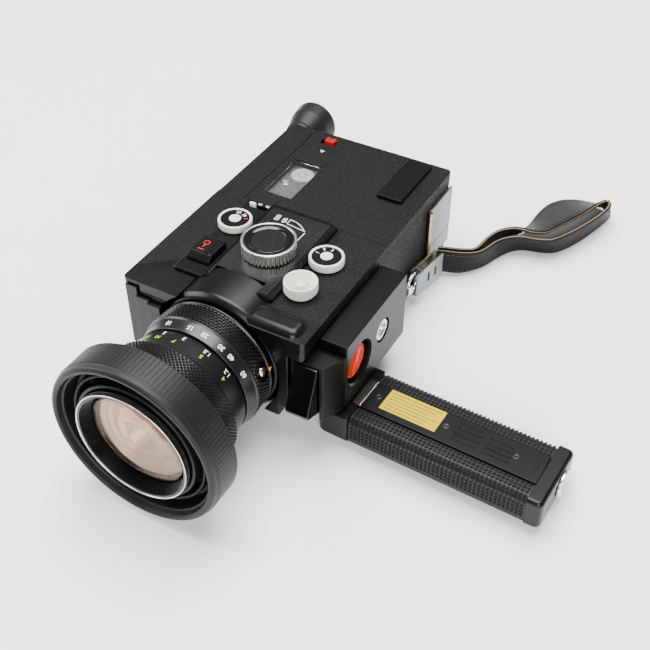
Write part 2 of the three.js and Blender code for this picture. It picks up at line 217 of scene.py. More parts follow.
# Body shell: the main aluminium casting with the film chamber, wrapped in leatherette.
# Embossed PVC sheet: rounded pebbles 1.2 mm across with worn, slightly shinier tops, and painted shade down
# between them.
LEATHERETTE, tree, shader, place = new_material(
    "PVC leatherette, pebble embossed", "#101112", Specular_IOR_Level=0.16,
)
pebbles = add_node(tree, "ShaderNodeTexVoronoi",
                   {"feature": "SMOOTH_F1", "Scale": 1000 / 1.2, "Smoothness": 0.5},
                   {"Vector": place})
wrinkles = add_node(tree, "ShaderNodeTexNoise", {"Scale": 1000 / 1.6, "Detail": 5, "Roughness": 0.7},
                    {"Vector": place})
height = add_node(tree, "ShaderNodeMath", {"operation": "MULTIPLY_ADD", 1: -0.6},
                  {0: pebbles.outputs["Distance"], 2: wrinkles.outputs[0]})
# Painted shade: the base colour follows the pebbles' height, dark down in the crevices and lighter on the tops.
tone = add_node(tree, "ShaderNodeValToRGB", links={"Fac": height.outputs[0]})
tone.color_ramp.elements[0].position, tone.color_ramp.elements[0].color = 0.05, srgb("#040405")
tone.color_ramp.elements[1].position, tone.color_ramp.elements[1].color = 0.55, srgb("#131415")
sheen = add_node(tree, "ShaderNodeMapRange",
                 {"From Min": 0.1, "From Max": 0.5, "To Min": 0.62, "To Max": 0.42},
                 {"Value": height.outputs[0]})
bump = add_node(tree, "ShaderNodeBump", {"Strength": 0.85, "Distance": 0.0004}, {"Height": height.outputs[0]})
tree.links.new(tone.outputs[0], shader.inputs["Base Color"])
tree.links.new(sheen.outputs[0], shader.inputs["Roughness"])
tree.links.new(bump.outputs[0], shader.inputs["Normal"])
put("main_shell", eased("body_shell", 0.6), LEATHERETTE, "camera_body", ["body_shell"],
    axes=METRES)


# Side cover: the pressed plate that carries the controls, in leatherette up to the smooth strip at its nose.
# Its lower edge rolls over in a wide round, and a moulded shoulder stands over the trigger.
def block(bounds, *rounds):
    """A block between corners. Each round is a test of an edge, a radius and a number of segments."""
    x0, x1, y0, y1, z0, z1 = bounds
    corners = [(x, y, z) for z in (z0, z1) for y in (y0, y1) for x in (x0, x1)]
    sides = [(0, 2, 3, 1), (4, 5, 7, 6), (0, 1, 5, 4), (2, 6, 7, 3), (0, 4, 6, 2), (1, 3, 7, 5)]
    made = from_lists(corners, sides)
    for test, radius, segments in rounds:
        bmesh.ops.recalc_face_normals(made, faces=made.faces)
        chosen = [
            e for e in made.edges
            if e.calc_face_angle(0) > 0.3 and test((e.verts[0].co + e.verts[1].co) / 2,
                                                   e.verts[0].co - e.verts[1].co)
        ]
        bmesh.ops.bevel(
            made, geom=chosen, offset=radius, segments=segments, profile=0.5, affect="EDGES",
            clamp_overlap=True,
        )
    return as_mesh(made)


def upright(middle, run):
    """True for an edge along Z."""
    return abs(run.z) > 0.9 * run.length


def carved(mesh, *tools, operation="DIFFERENCE"):
    """The mesh with the tool meshes cut out of it, or joined to it."""
    blank = bpy.data.objects.new("blank", mesh)
    bpy.context.scene.collection.objects.link(blank)
    knives = []
    for tool in tools:
        knife = bpy.data.objects.new("knife", tool)
        bpy.context.scene.collection.objects.link(knife)
        knives.append(knife)
        cut = blank.modifiers.new("cut", "BOOLEAN")
        cut.operation, cut.solver, cut.object = operation, "EXACT", knife
    made = bpy.data.meshes.new_from_object(blank.evaluated_get(bpy.context.evaluated_depsgraph_get()))
    for used in (blank, *knives):
        bpy.data.objects.remove(used)
    return made


def arced(points, radius, steps=3, closed=False):
    """An outline with its corners turned into arcs; a point's third number is its corner's own radius."""
    made = []
    count = len(points)
    for i, point in enumerate(points):
        here = Vector(point[:2])
        if not closed and i in (0, count - 1):
            made.append(here)
            continue
        before, after = Vector(points[i - 1][:2]) - here, Vector(points[(i + 1) % count][:2]) - here
        own = point[2] if len(point) > 2 else radius
        reach = min(own, 0.45 * before.length, 0.45 * after.length)
        start, end = here + before.normalized() * reach, here + after.normalized() * reach
        for step in range(steps + 1):
            t = step / steps
            made.append(start * (1 - t) ** 2 + here * 2 * t * (1 - t) + end * t * t)
    return made


def turned(profile, axis, middle, sides=96, closed=False):
    """A turned solid, from points of distance along the axis and radius."""
    verts, rings = [], []
    for along, radius in profile:
        if radius < 1e-6:
            rings.append([len(verts)])
            spots = [(0, 0)]
        else:
            rings.append(list(range(len(verts), len(verts) + sides)))
            turns = [2 * math.pi * i / sides for i in range(sides)]
            spots = [(radius * math.cos(a), radius * math.sin(a)) for a in turns]
        for u, v in spots:
            if axis == "X":
                verts.append((along, middle[0] + u, middle[1] + v))
            elif axis == "Y":
                verts.append((middle[0] + u, along, middle[1] + v))
            else:
                verts.append((middle[0] + u, middle[1] + v, along))
    faces = []
    for a, b in zip(rings, rings[1:] + ([rings[0]] if closed else [])):
        for i in range(sides):
            j = (i + 1) % sides
            corners = [a[i % len(a)], a[j % len(a)], b[j % len(b)], b[i % len(b)]]
            corners = list(dict.fromkeys(corners))
            if len(corners) > 2:
                faces.append(corners)
    return as_mesh(from_lists(verts, faces))


LENS = (52.6, -30)
SEAT_RADIUS = 36.2
COVER_BACK = -5.4
SEAM_X, SEAM_Y = 16.7, 85.6
GAP = 0.3
LOWER_EDGE = 103.3


def seat_cutter():
    return turned([(-3, 0), (-3, SEAT_RADIUS), (27, SEAT_RADIUS), (27, 0)], "Y", LENS, 160)


def on_top(middle, run):
    return middle.z > -0.1 and not upright(middle, run)


plate = block(
    (0, LOWER_EDGE, 0, SEAM_Y, COVER_BACK, 0),
    (lambda m, r: upright(m, r) and m.y < 1, 2.4, 5),
    (lambda m, r: m.z > -0.1 and m.x > 103, 5.0, 8),
    (lambda m, r: on_top(m, r) and m.y < SEAM_Y - 0.1, 0.9, 3),
)
top_strip = block(
    (0, SEAM_X - GAP, SEAM_Y - 4, 165, COVER_BACK, 0),
    (lambda m, r: upright(m, r) and m.y > 164, 2.4, 5),
    (lambda m, r: on_top(m, r) and m.y > SEAM_Y, 0.9, 3),
)
slot_hole = block((22, 34, 80.4, 83, -8, 2), (upright, 1.2, 5))
pin_hole = turned([(-3, 0), (-3, 0.9), (2, 0.9), (2, 0)], "Z", (17.6, 47.5), 20)
cover = carved(carved(plate, top_strip, operation="UNION"), seat_cutter(), slot_hole, pin_hole)
made = bmesh.new()
made.from_mesh(cover)
# The smooth strip ends on a slanting line by the power button, and under the shoulder.
NOSE_LINE = (Vector((2.6, 12.6, 0)), Vector((17.7, 26, 0)))
slant = NOSE_LINE[1] - NOSE_LINE[0]
for spot, normal in ((NOSE_LINE[0], Vector((-slant.y, slant.x, 0))), (Vector((0, 17, 0)), Vector((0, 1, 0)))):
    bmesh.ops.bisect_plane(made, geom=made.verts[:] + made.edges[:] + made.faces[:], plane_co=spot,
                           plane_no=normal)
for face in made.faces:
    spot = face.calc_center_median()
    smooth_to = NOSE_LINE[0].y + (spot.x - NOSE_LINE[0].x) * slant.y / slant.x if spot.x < 45 else 17
    face.material_index = int(spot.y < smooth_to)
cover = as_mesh(made)
cover_faces = [p.material_index for p in cover.polygons]
piece = put("control_side_cover", cover, [LEATHERETTE, ENAMEL], "camera_body", ["side_cover"])
piece.data.polygons.foreach_set("material_index", cover_faces)
shoulder = block(
    (70, 99.5, 0.6, 15.5, -8, 2.9),
    (lambda m, r: upright(m, r) and m.x > 98, 5.5, 8),
    (lambda m, r: m.z > 2.8, 4.9, 10),
)
put("shoulder", carved(shoulder, seat_cutter()), ENAMEL, "camera_body")


# Control surround: the moulded black bezel round the control plate, with a sill for the power button.
# Gloss ABS, its skirt cut away in an arch where the lens neck stands over it.
# Moulded gloss ABS: an even mirror-like skin that handling has dulled a little in patches.
GLOSS_BLACK = hazed("gloss black ABS, moulded", "#050506", 9, 0.08, 0.22)

# Satin ABS: spark-eroded in the mould, so it scatters the light evenly; the grain is 0.25 mm.
SATIN_BLACK, tree, shader, place = new_material(
    "satin black ABS, spark-eroded", "#060606", Roughness=0.36, Specular_IOR_Level=0.16,
)
spark = add_node(tree, "ShaderNodeTexNoise", {"Scale": 1000 / 0.25, "Detail": 2}, {"Vector": place})
bump = add_node(tree, "ShaderNodeBump", {"Strength": 0.15, "Distance": 0.0001}, {"Height": spark.outputs[0]})
tree.links.new(bump.outputs[0], shader.inputs["Normal"])

PLATE = (37, 71.8, 20, 83)
PLATE_TOP = 3.3
SURROUND_TOP = 2
bezel = block(
    (PLATE[0] - 1.5, PLATE[1] + 3.2, PLATE[2] - 2, PLATE[3] + 1.9, GAP, PLATE_TOP),
    (lambda m, r: upright(m, r), 1.2, 3),
    (lambda m, r: m.z > 3 and m.x > PLATE[1], 2.4, 1),
    (lambda m, r: m.z > 3, 0.3, 2),
)
inset = block((PLATE[0] - 0.4, PLATE[1] + 0.4, PLATE[2] - 0.4, PLATE[3] + 0.4, 2.0, 5), (upright, 0.8, 3))
sill = block((18.5, PLATE[0], 17, 45, GAP, SURROUND_TOP), (upright, 1.2, 3), (lambda m, r: m.z > 1.9, 0.9, 3))
button_well = block((20.5, 34.3, 25.2, 42.4, -1, 4), (upright, 1.2, 3))
bezel = carved(carved(bezel, inset), sill, operation="UNION")
put("control_bezel", carved(bezel, seat_cutter(), button_well), GLOSS_BLACK, "camera_body",
    ["control_surround"])
filter_panel = block((19.6, 35.2, 46.5, 85.3, -0.05, 0.28), (upright, 0.8, 3),
                     (lambda m, r: m.z > 0.2, 0.12, 2))
put("filter_panel", carved(filter_panel, block((22, 34, 80.4, 83, -8, 2), (upright, 1.2, 5))), SATIN_BLACK,
    "camera_body")

# Control plate: a thin anodised aluminium plate let into the bezel, polished enough to mirror the dial.
# Warm grey anodising over a brushed ground, whose lines run with the lens, 0.3 mm apart.
ANODISED, tree, shader, place = new_material(
    "warm grey anodised aluminium, brushed", "#343332", Metallic=0.8, Anisotropic=0.35,
)
stretch = add_node(tree, "ShaderNodeMapping", {"Scale": (1000 / 0.3, 1000 / 14, 1000 / 0.3)},
                   {"Vector": place})
lines = add_node(tree, "ShaderNodeTexNoise", {"Scale": 1.0, "Detail": 2}, {"Vector": stretch.outputs[0]})
sheen = add_node(tree, "ShaderNodeMapRange", {"To Min": 0.18, "To Max": 0.3}, {"Value": lines.outputs[0]})
tone = add_node(tree, "ShaderNodeValToRGB", links={"Fac": lines.outputs[0]})
tone.color_ramp.elements[0].position, tone.color_ramp.elements[0].color = 0.3, srgb("#2c2b2a")
tone.color_ramp.elements[1].position, tone.color_ramp.elements[1].color = 0.7, srgb("#403f3e")
tree.links.new(tone.outputs[0], shader.inputs["Base Color"])
tree.links.new(sheen.outputs[0], shader.inputs["Roughness"])
plate = block((*PLATE, 2.3, PLATE_TOP - 0.05), (upright, 0.6, 2), (lambda m, r: m.z > 3.1, 0.15, 2))
put("control_face", carved(plate, seat_cutter()), ANODISED, "camera_body", ["control_plate"])


# Printed marks: two-part epoxy ink, silk-screened 0.04 mm thick. Only plain signs and numbers are printed.
# Each mark is a thin outline, swept along straight or curved lines.
def new_ink(name, color):
    """An opaque epoxy ink; its slightly uneven film varies the sheen over 2 mm."""
    return hazed(name, color, 2, 0.38, 0.55)


WHITE_INK = new_ink("white epoxy ink, screened", "#eeeeea")
RED_INK = new_ink("red epoxy ink, screened", "#d81a12")
ORANGE_INK = new_ink("orange epoxy ink, screened", "#f0500a")
GREEN_INK = new_ink("yellow-green epoxy ink, screened", "#8fdc00")
YELLOW_INK = new_ink("yellow epoxy ink, screened", "#ffc000")
INK_FILM = 0.04


def printed_lines(strokes, width, height):
    """Flat strokes of ink on the plane at that height: each stroke is a run of points."""
    verts, faces = [], []
    for stroke in strokes:
        points = [Vector(p) for p in stroke]
        for a, b in zip(points, points[1:]):
            along = (b - a).normalized() * width / 2
            side = Vector((-along.y, along.x))
            base = len(verts)
            for z in (height, height + INK_FILM):
                for spot in (a - along - side, b + along - side, b + along + side, a - along + side):
                    verts.append((spot.x, spot.y, z))
            faces += [[base + i for i in side_of] for side_of in (
                (3, 2, 1, 0), (4, 5, 6, 7), (0, 1, 5, 4), (1, 2, 6, 5), (2, 3, 7, 6), (3, 0, 4, 7),
            )]
    return as_mesh(from_lists(verts, faces))


# These outlines' points, the angles of the zoom and focus figures, the places of the dials' figures and the
# edges of the wrist strap come from a separate measuring script; they aren't worked out from driving sizes.
marks = [
    [(42.9, 73.2), (42.8, 77.4), (44.7, 77.8), (44.9, 73.6), (42.9, 73.2)], [(43.8, 73.4), (43.7, 77.6)],
    [(47.7, 73.1), (47.2, 76.6), (48.9, 77.2), (49.3, 73.6), (47.7, 73.1)], [(48.5, 74.4), (48.2, 75.8)],
    [(50.8, 73.2), (50.8, 77.0), (54.7, 76.6), (58.4, 74.9), (62.3, 71.8), (50.8, 73.2)],
    [(63.0, 70.6), (62.8, 63.4), (61.7, 64.4)],
]
put("plate_marks", printed_lines(marks, 0.36, PLATE_TOP - 0.03), WHITE_INK, "camera_body")
put("dial_pointer", printed_lines([[(42.2, 65.2), (43.4, 63.2)]], 1.0, PLATE_TOP - 0.03), WHITE_INK,
    "camera_body")

# Lens neck: the turned barrel between the body and the zoom ring, flared where it enters the lens seat.
# Satin enamel like the nose, with a rolled front edge.
neck = arced([(2.3, 28), (2.3, 33.4), (5, 35.6), (25.2, 36.1), (25.2, 28)], 1.2, 4, closed=True)
put("lens_barrel_neck", turned(neck, "Y", LENS, 160, closed=True), ENAMEL, "camera_body",
    ["lens_neck"])


# Zoom ring: a black anodised ring with a pyramid-knurled grip and a smooth band of focal lengths.
# The pyramids are rolled in with a diamond knurl.
def tile_tree(name, kinds):
    """An empty geometry tree with named inputs and one geometry output, and its input and output nodes."""
    tree = bpy.data.node_groups.new(name, "GeometryNodeTree")
    tree.interface.new_socket("Geometry", in_out="INPUT", socket_type="NodeSocketGeometry")
    for label, kind in kinds:
        tree.interface.new_socket(label, in_out="INPUT", socket_type="NodeSocket" + kind)
    tree.interface.new_socket("Geometry", in_out="OUTPUT", socket_type="NodeSocketGeometry")
    return tree, tree.nodes.new("NodeGroupInput"), tree.nodes.new("NodeGroupOutput")


def grown(tree, start, values):
    """The plain mesh that a geometry tree grows from a start mesh, with its inputs set by their identifiers."""
    seed = bpy.data.objects.new("seed", start)
    bpy.context.scene.collection.objects.link(seed)
    modifier = seed.modifiers.new("grow", "NODES")
    modifier.node_group = tree
    for item in tree.interface.items_tree:
        if item.in_out == "INPUT" and item.name in values:
            modifier[item.identifier] = values[item.name]
    made = bpy.data.meshes.new_from_object(seed.evaluated_get(bpy.context.evaluated_depsgraph_get()))
    bpy.data.objects.remove(seed)
    return made


# The tree copies one tile round a ring about Y, row by row; Stagger turns each second row by half a tile.
RING_TREE, ring_in, ring_out = tile_tree("ring_of_tiles", [
    ("Tile", "Object"), ("Around", "Int"), ("Rows", "Int"), ("First", "Float"), ("Last", "Float"),
    ("First Radius", "Float"), ("Last Radius", "Float"), ("Stagger", "Float"), ("Finish", "Material"),
])
tree = RING_TREE
total = add_node(tree, "ShaderNodeMath", {"operation": "MULTIPLY"},
                 {0: ring_in.outputs["Around"], 1: ring_in.outputs["Rows"]})
spots = add_node(tree, "GeometryNodeMeshLine", links={"Count": total.outputs[0]})
index = add_node(tree, "GeometryNodeInputIndex")
row = add_node(tree, "ShaderNodeMath", {"operation": "DIVIDE"},
               {0: index.outputs[0], 1: ring_in.outputs["Around"]})
row = add_node(tree, "ShaderNodeMath", {"operation": "FLOOR"}, {0: row.outputs[0]})
last_row = add_node(tree, "ShaderNodeMath", {"operation": "SUBTRACT", 1: 1.0}, {0: ring_in.outputs["Rows"]})
last_row = add_node(tree, "ShaderNodeMath", {"operation": "MAXIMUM", 1: 1.0}, {0: last_row.outputs[0]})
share = add_node(tree, "ShaderNodeMath", {"operation": "DIVIDE"}, {0: row.outputs[0], 1: last_row.outputs[0]})
along = add_node(tree, "ShaderNodeMapRange", links={
    "Value": share.outputs[0], "To Min": ring_in.outputs["First"], "To Max": ring_in.outputs["Last"]})
radius = add_node(tree, "ShaderNodeMapRange", links={
    "Value": share.outputs[0], "To Min": ring_in.outputs["First Radius"],
    "To Max": ring_in.outputs["Last Radius"]})
odd = add_node(tree, "ShaderNodeMath", {"operation": "MODULO", 1: 2.0}, {0: row.outputs[0]})
shift = add_node(tree, "ShaderNodeMath", {"operation": "MULTIPLY_ADD"},
                 {0: odd.outputs[0], 1: ring_in.outputs["Stagger"], 2: index.outputs[0]})
part_turn = add_node(tree, "ShaderNodeMath", {"operation": "DIVIDE"},
                     {0: shift.outputs[0], 1: ring_in.outputs["Around"]})
angle = add_node(tree, "ShaderNodeMath", {"operation": "MULTIPLY", 1: 2 * math.pi}, {0: part_turn.outputs[0]})
sine = add_node(tree, "ShaderNodeMath", {"operation": "SINE"}, {0: angle.outputs[0]})
cosine = add_node(tree, "ShaderNodeMath", {"operation": "COSINE"}, {0: angle.outputs[0]})
across = add_node(tree, "ShaderNodeMath", {"operation": "MULTIPLY"},
                  {0: sine.outputs[0], 1: radius.outputs[0]})
upward = add_node(tree, "ShaderNodeMath", {"operation": "MULTIPLY"},
                  {0: cosine.outputs[0], 1: radius.outputs[0]})
spot = add_node(tree, "ShaderNodeCombineXYZ",
                links={"X": across.outputs[0], "Y": along.outputs[0], "Z": upward.outputs[0]})
placed = add_node(tree, "GeometryNodeSetPosition",
                  links={"Geometry": spots.outputs[0], "Position": spot.outputs[0]})
facing = add_node(tree, "ShaderNodeCombineXYZ", links={"Y": angle.outputs[0]})
tile = add_node(tree, "GeometryNodeObjectInfo", links={"Object": ring_in.outputs["Tile"]})
copies = add_node(tree, "GeometryNodeInstanceOnPoints", links={
    "Points": placed.outputs[0], "Instance": tile.outputs["Geometry"], "Rotation": facing.outputs[0]})
real = add_node(tree, "GeometryNodeRealizeInstances", links={"Geometry": copies.outputs[0]})
finish = add_node(tree, "GeometryNodeSetMaterial",
                  links={"Geometry": real.outputs[0], "Material": ring_in.outputs["Finish"]})
tree.links.new(finish.outputs[0], ring_out.inputs[0])


def ring_of(tile, finish, around, rows, first, last, radii, stagger=0.0):
    """Tiles round an axis along Y at the origin. A tile stands on Z = 0 and its length lies along Y."""
    pattern = bpy.data.objects.new("tile", tile)
    bpy.context.scene.collection.objects.link(pattern)
    made = grown(RING_TREE, bpy.data.meshes.new("start"), {
        "Tile": pattern, "Around": around, "Rows": rows, "First": float(first), "Last": float(last),
        "First Radius": float(radii[0]), "Last Radius": float(radii[1]), "Stagger": float(stagger),
        "Finish": finish,
    })
    bpy.data.objects.remove(pattern)
    return made


def pyramid(across, along, height, flat=0.35):
    """A knurl's tooth: a pyramid with a worn flat top, its foot sunk a little under the surface."""
    a, b, sunk = across / 2, along / 2, -0.25
    verts = [(-a, -b, sunk), (a, -b, sunk), (a, b, sunk), (-a, b, sunk)]
    verts += [(flat * x, flat * y, height) for x, y, z in verts]
    return as_mesh(from_lists(verts, [
        (3, 2, 1, 0), (4, 5, 6, 7), (0, 1, 5, 4), (1, 2, 6, 5), (2, 3, 7, 6), (3, 0, 4, 7),
    ]))


def diamond(across, along, height):
    """A diamond knurl's tooth: four sides set cornerwise, with a small flat on top."""
    a, b, top, sunk = across / 2, along / 2, 0.3, -0.25
    verts = [(0, -b, sunk), (a, 0, sunk), (0, b, sunk), (-a, 0, sunk)]
    verts += [(top * x, top * y, height) for x, y, z in verts]
    return as_mesh(from_lists(verts, [
        (3, 2, 1, 0), (4, 5, 6, 7), (0, 1, 5, 4), (1, 2, 6, 5), (2, 3, 7, 6), (3, 0, 4, 7),
    ]))


# Black anodising: hard and even, with a sheen that drifts a little over patches 5 mm across.
BLACK_ANODISED = hazed("black anodised aluminium, turned", "#060607", 5, 0.24, 0.38, Specular_IOR_Level=0.45)
AT_LENS = Matrix.Translation((LENS[0], 0, LENS[1]))
MACRO_Y, MACRO_ANGLE = -6, 17
zoom_profile = arced([
    (1.8, 27.4), (1.8, 31), (0.6, 32.6), (-0.4, 32.9), (-1.2, 32.0), (-12.4, 32.9), (-12.8, 33.4), (-14, 32.8),
    (-20.3, 31.6), (-20.3, 27.4),
], 0.4, 3, closed=True)
button_turn = Matrix.Rotation(math.radians(-MACRO_ANGLE), 4, "Y")
button_hole = turned([(27.4, 0), (27.4, 2.9), (40, 2.9), (40, 0)], "X", (MACRO_Y, 0), 32)
button_hole.transform(AT_LENS @ button_turn)
put("zoom_band", carved(turned(zoom_profile, "Y", LENS, 160, closed=True), button_hole), BLACK_ANODISED,
    "zoom_ring", ["zoom_ring"])
ZOOM_TEETH = 96
knurl = ring_of(pyramid(1.75, 1.35, 0.75), BLACK_ANODISED, ZOOM_TEETH, 7, -1.9, -11.7, (32.1, 32.8), 0.5)
made = bmesh.new()
made.from_mesh(knurl)
button_axis = Vector((math.cos(math.radians(MACRO_ANGLE)), 0, math.sin(math.radians(MACRO_ANGLE))))
near = []
for vertex in made.verts:
    reach = vertex.co.dot(button_axis)
    aside = vertex.co - button_axis * reach - Vector((0, MACRO_Y, 0))
    if reach > 20 and aside.length < 4.6:
        near.append(vertex)
bmesh.ops.delete(made, geom=near, context="VERTS")
knurl = as_mesh(made)
knurl.transform(AT_LENS)
put("zoom_knurl", knurl, BLACK_ANODISED, "zoom_ring", crease=20)


def numerals(text, size):
    """The text as a thin flat mesh in the XY plane, centred on the origin."""
    curve = bpy.data.curves.new("numerals", "FONT")
    curve.body, curve.size, curve.extrude = text, size, INK_FILM / 2
    curve.align_x, curve.align_y, curve.offset = "CENTER", "CENTER", size * 0.012
    writing = bpy.data.objects.new("numerals", curve)
    bpy.context.scene.collection.objects.link(writing)
    bpy.context.view_layer.update()
    made = bpy.data.meshes.new_from_object(writing.evaluated_get(bpy.context.evaluated_depsgraph_get()))
    bpy.data.objects.remove(writing)
    return made


def engraved(texts, size, along, radius, slope=0.0):
    """Numbers round the lens: pairs of text and degrees from the left side, read from behind the camera."""
    whole = bmesh.new()
    for text, degrees in texts:
        flat = numerals(text, size)
        for vertex in flat.vertices:
            x, y, z = vertex.co
            angle = math.radians(degrees) - x / radius
            reach = radius + slope * y + z
            vertex.co = (reach * math.sin(angle), along - y, reach * math.cos(angle))
        whole.from_mesh(flat)
    mesh = bpy.data.meshes.new("engraved")
    whole.to_mesh(mesh)
    whole.free()
    mesh.transform(AT_LENS)
    return mesh


FOCAL_LENGTHS = (("10", -22), ("15", 0.5), ("20", 14.7), ("30", 31.6), ("40", 43), ("60", 61))
put("focal_lengths", engraved(FOCAL_LENGTHS, 3.5, -17.0, 32.45, -0.19), WHITE_INK, "zoom_ring")
index_line = printed_lines([[(-0.1, 1.2), (-0.1, 3.6)]], 0.5, 0)
index_line.transform(Matrix.Translation((LENS[0], 3.0, LENS[1] + 32.85)))
put("zoom_index", index_line, WHITE_INK, "camera_body")

# Macro button: a nickel-plated pin with a domed end, pressed to let the zoom ring turn past its stop.
# Bright nickel plate: a warm white mirror, broken only by polishing haze.
NICKEL = hazed("bright nickel plate on brass", "#eeeeea", 3, 0.16, 0.3, Metallic=1.0)
pin = turned(arced([(28.8, 0), (28.8, 2.3), (33.4, 2.3, 0.8), (34.2, 0)], 0.3, 4), "X", (MACRO_Y, 0), 40)
pin.transform(AT_LENS @ button_turn)
put("macro_pin", pin, NICKEL, "macro_button", ["macro_button"])
flag = turned([(0, 0), (0, 1.6), (INK_FILM, 1.6), (INK_FILM, 0)], "X", (0, 0), 3)
flag.transform(
    AT_LENS @ Matrix.Rotation(math.radians(-(90 - 77)), 4, "Y") @ Matrix.Translation((33.05, -0.6, 0))
)
put("macro_mark", flag, YELLOW_INK, "zoom_ring")

# Focus ring: it carries the distance scale, a diamond-knurled rubber grip, the front cell and the hood.
# The white figures are metres and the green ones are feet.
focus_profile = arced([
    (-20.8, 27.4), (-20.8, 30.8), (-21.8, 31.4), (-24.4, 31.9), (-33, 33.2), (-34, 34.2), (-34.6, 34.9),
    (-47, 35.2), (-48.4, 34.2), (-49.4, 34.0), (-49.4, 27.4),
], 0.4, 3, closed=True)
put("focus_band", turned(focus_profile, "Y", LENS, 160, closed=True), BLACK_ANODISED, "focus_ring",
    ["focus_ring"])
knurl = ring_of(diamond(2.25, 2.3, 0.8), BLACK_ANODISED, 98, 11, -35.6, -46.4, (34.85, 35.15), 0.5)
knurl.transform(AT_LENS)
RUBBER, tree, shader, place = new_material(
    "black nitrile rubber, moulded", "#0a0a0b", Roughness=0.5, Specular_IOR_Level=0.3,
)
bloom = add_node(tree, "ShaderNodeTexNoise", {"Scale": 1000 / 6, "Detail": 6, "Roughness": 0.65},
                 {"Vector": place})
tone = add_node(tree, "ShaderNodeValToRGB", links={"Fac": bloom.outputs[0]})
tone.color_ramp.elements[0].position, tone.color_ramp.elements[0].color = 0.35, srgb("#060607")
tone.color_ramp.elements[1].position, tone.color_ramp.elements[1].color = 0.75, srgb("#0f0f10")
skin = add_node(tree, "ShaderNodeTexNoise", {"Scale": 1000 / 0.4, "Detail": 3}, {"Vector": place})
bump = add_node(tree, "ShaderNodeBump", {"Strength": 0.2, "Distance": 0.0001}, {"Height": skin.outputs[0]})
tree.links.new(tone.outputs[0], shader.inputs["Base Color"])
tree.links.new(bump.outputs[0], shader.inputs["Normal"])
put("focus_knurl", knurl, RUBBER, "focus_ring", crease=20)
METRES_SCALE = (("5", -17), ("3", 3.3), ("1.5", 26.2), ("1.2", 49.6))
FEET_SCALE = (("15", -30), ("10", -18), ("7", -1.6), ("5", 24.5), ("4", 50))
put("distance_metres", engraved(METRES_SCALE, 3.3, -24.2, 32.15, 0.16), WHITE_INK, "focus_ring")
put("distance_feet", engraved(FEET_SCALE, 3.3, -28.2, 32.75, 0.16), GREEN_INK, "focus_ring")

# Front cell: the black anodised mount of the front lens, threaded inside for filters, with a bright rim.
# Its cone is turned in fine steps 0.55 mm apart, which stop stray light.
steps = []
STEP_COUNT = 10
for i in range(STEP_COUNT):
    y = -68.2 + i * 0.55
    r = 29.0 - i * 0.2
    steps += [(y, r), (y + 0.4, r), (y + 0.4, r - 0.2)]
cell_profile = [(-49.7, 22), (-49.7, 30), (-68.6, 30.3), (-68.9, 30.1), (-68.9, 29.0)] + steps + [
    (-62.3, 27.0), (-51.5, 27.0), (-51.5, 22),
]
put("front_cell_mount", turned(cell_profile, "Y", LENS, 160, closed=True), BLACK_ANODISED, "focus_ring",
    ["front_cell"])
rim = arced([
    (-66.4, 30.25), (-66.4, 30.75), (-69.2, 30.7), (-69.35, 30.45), (-69.2, 30.1), (-68.4, 30.0),
    (-68.4, 30.2),
], 0.2, 3, closed=True)
put("filter_ring", turned(rim, "Y", LENS, 160, closed=True), NICKEL, "focus_ring")

# Front glass: a thick meniscus with an amber coating; behind it stand the ringed barrel and a bright dome.
# Optical crown glass bends light at 1.52, and its magnesium fluoride layer turns the reflection peach.
COATED_GLASS, tree, shader, place = new_material(
    "optical crown glass, amber coated", "#fff0e4", Roughness=0.0, IOR=1.52, Transmission_Weight=1.0,
    Specular_Tint=srgb("#ffd9bc"),
)
glass_profile = arced([
    (-58.4, 0), (-58.2, 14), (-57.4, 26.8), (-62.4, 26.8), (-64.3, 21.5), (-65.7, 15), (-66.5, 8), (-66.8, 0),
], 3.0, 5)
put("front_meniscus", turned(glass_profile, "Y", LENS, 160), COATED_GLASS, "focus_ring",
    ["front_glass"])
# The ringed barrel is warm-toned metal: it stands in for the coated elements, and its peach colour is painted
# reflection of their coating.
BARREL, tree, shader, place = new_material(
    "warm-toned metal, painted coating reflection", "#b98a6c", Metallic=0.7, Roughness=0.3,
)
# Painted reflection: the colour drifts between a darker and a lighter peach over 9 mm patches.
painted_reflection_patches = add_node(tree, "ShaderNodeTexNoise", {"Scale": 1000 / 9, "Detail": 2}, {"Vector": place})
tone = add_node(tree, "ShaderNodeValToRGB", links={"Fac": painted_reflection_patches.outputs[0]})
tone.color_ramp.elements[0].position, tone.color_ramp.elements[0].color = 0.3, srgb("#8f6548")
tone.color_ramp.elements[1].position, tone.color_ramp.elements[1].color = 0.7, srgb("#d9ae8c")
tree.links.new(tone.outputs[0], shader.inputs["Base Color"])
stops = [(-55.6, 26.6)]
for i in range(8):
    stops += [(-56 + i * 1.3, 26.2 - i * 1.4), (-55.6 + i * 1.3, 25.1 - i * 1.4)]
stops += [(-45, 14.6), (-44, 24.6)]
put("lens_stops", turned(stops, "Y", LENS, 128, closed=True), BARREL, "focus_ring")
baffle = [(-54.4, 26.7), (-55.9, 26.6), (-56.6, 25.4), (-55.9, 24.8), (-56.2, 23.6), (-55.2, 23.0),
          (-54.4, 23.4)]
put("lens_baffle", turned(baffle, "Y", LENS, 128, closed=True), BLACK_ANODISED, "focus_ring")
# The second element is a metallic dome too, not glass: it stands in for the glare off a coated element.
BRIGHT_GLASS = hazed("polished aluminium, warm white", "#fff6ee", 12, 0.04, 0.14, Metallic=0.85)
second = arced([(-45.6, 0), (-45.6, 15.4), (-47, 15.4), (-50, 11.6), (-52.4, 6), (-53, 0)], 2.5, 4)
put("second_element", turned(second, "Y", LENS, 96), BRIGHT_GLASS, "focus_ring")

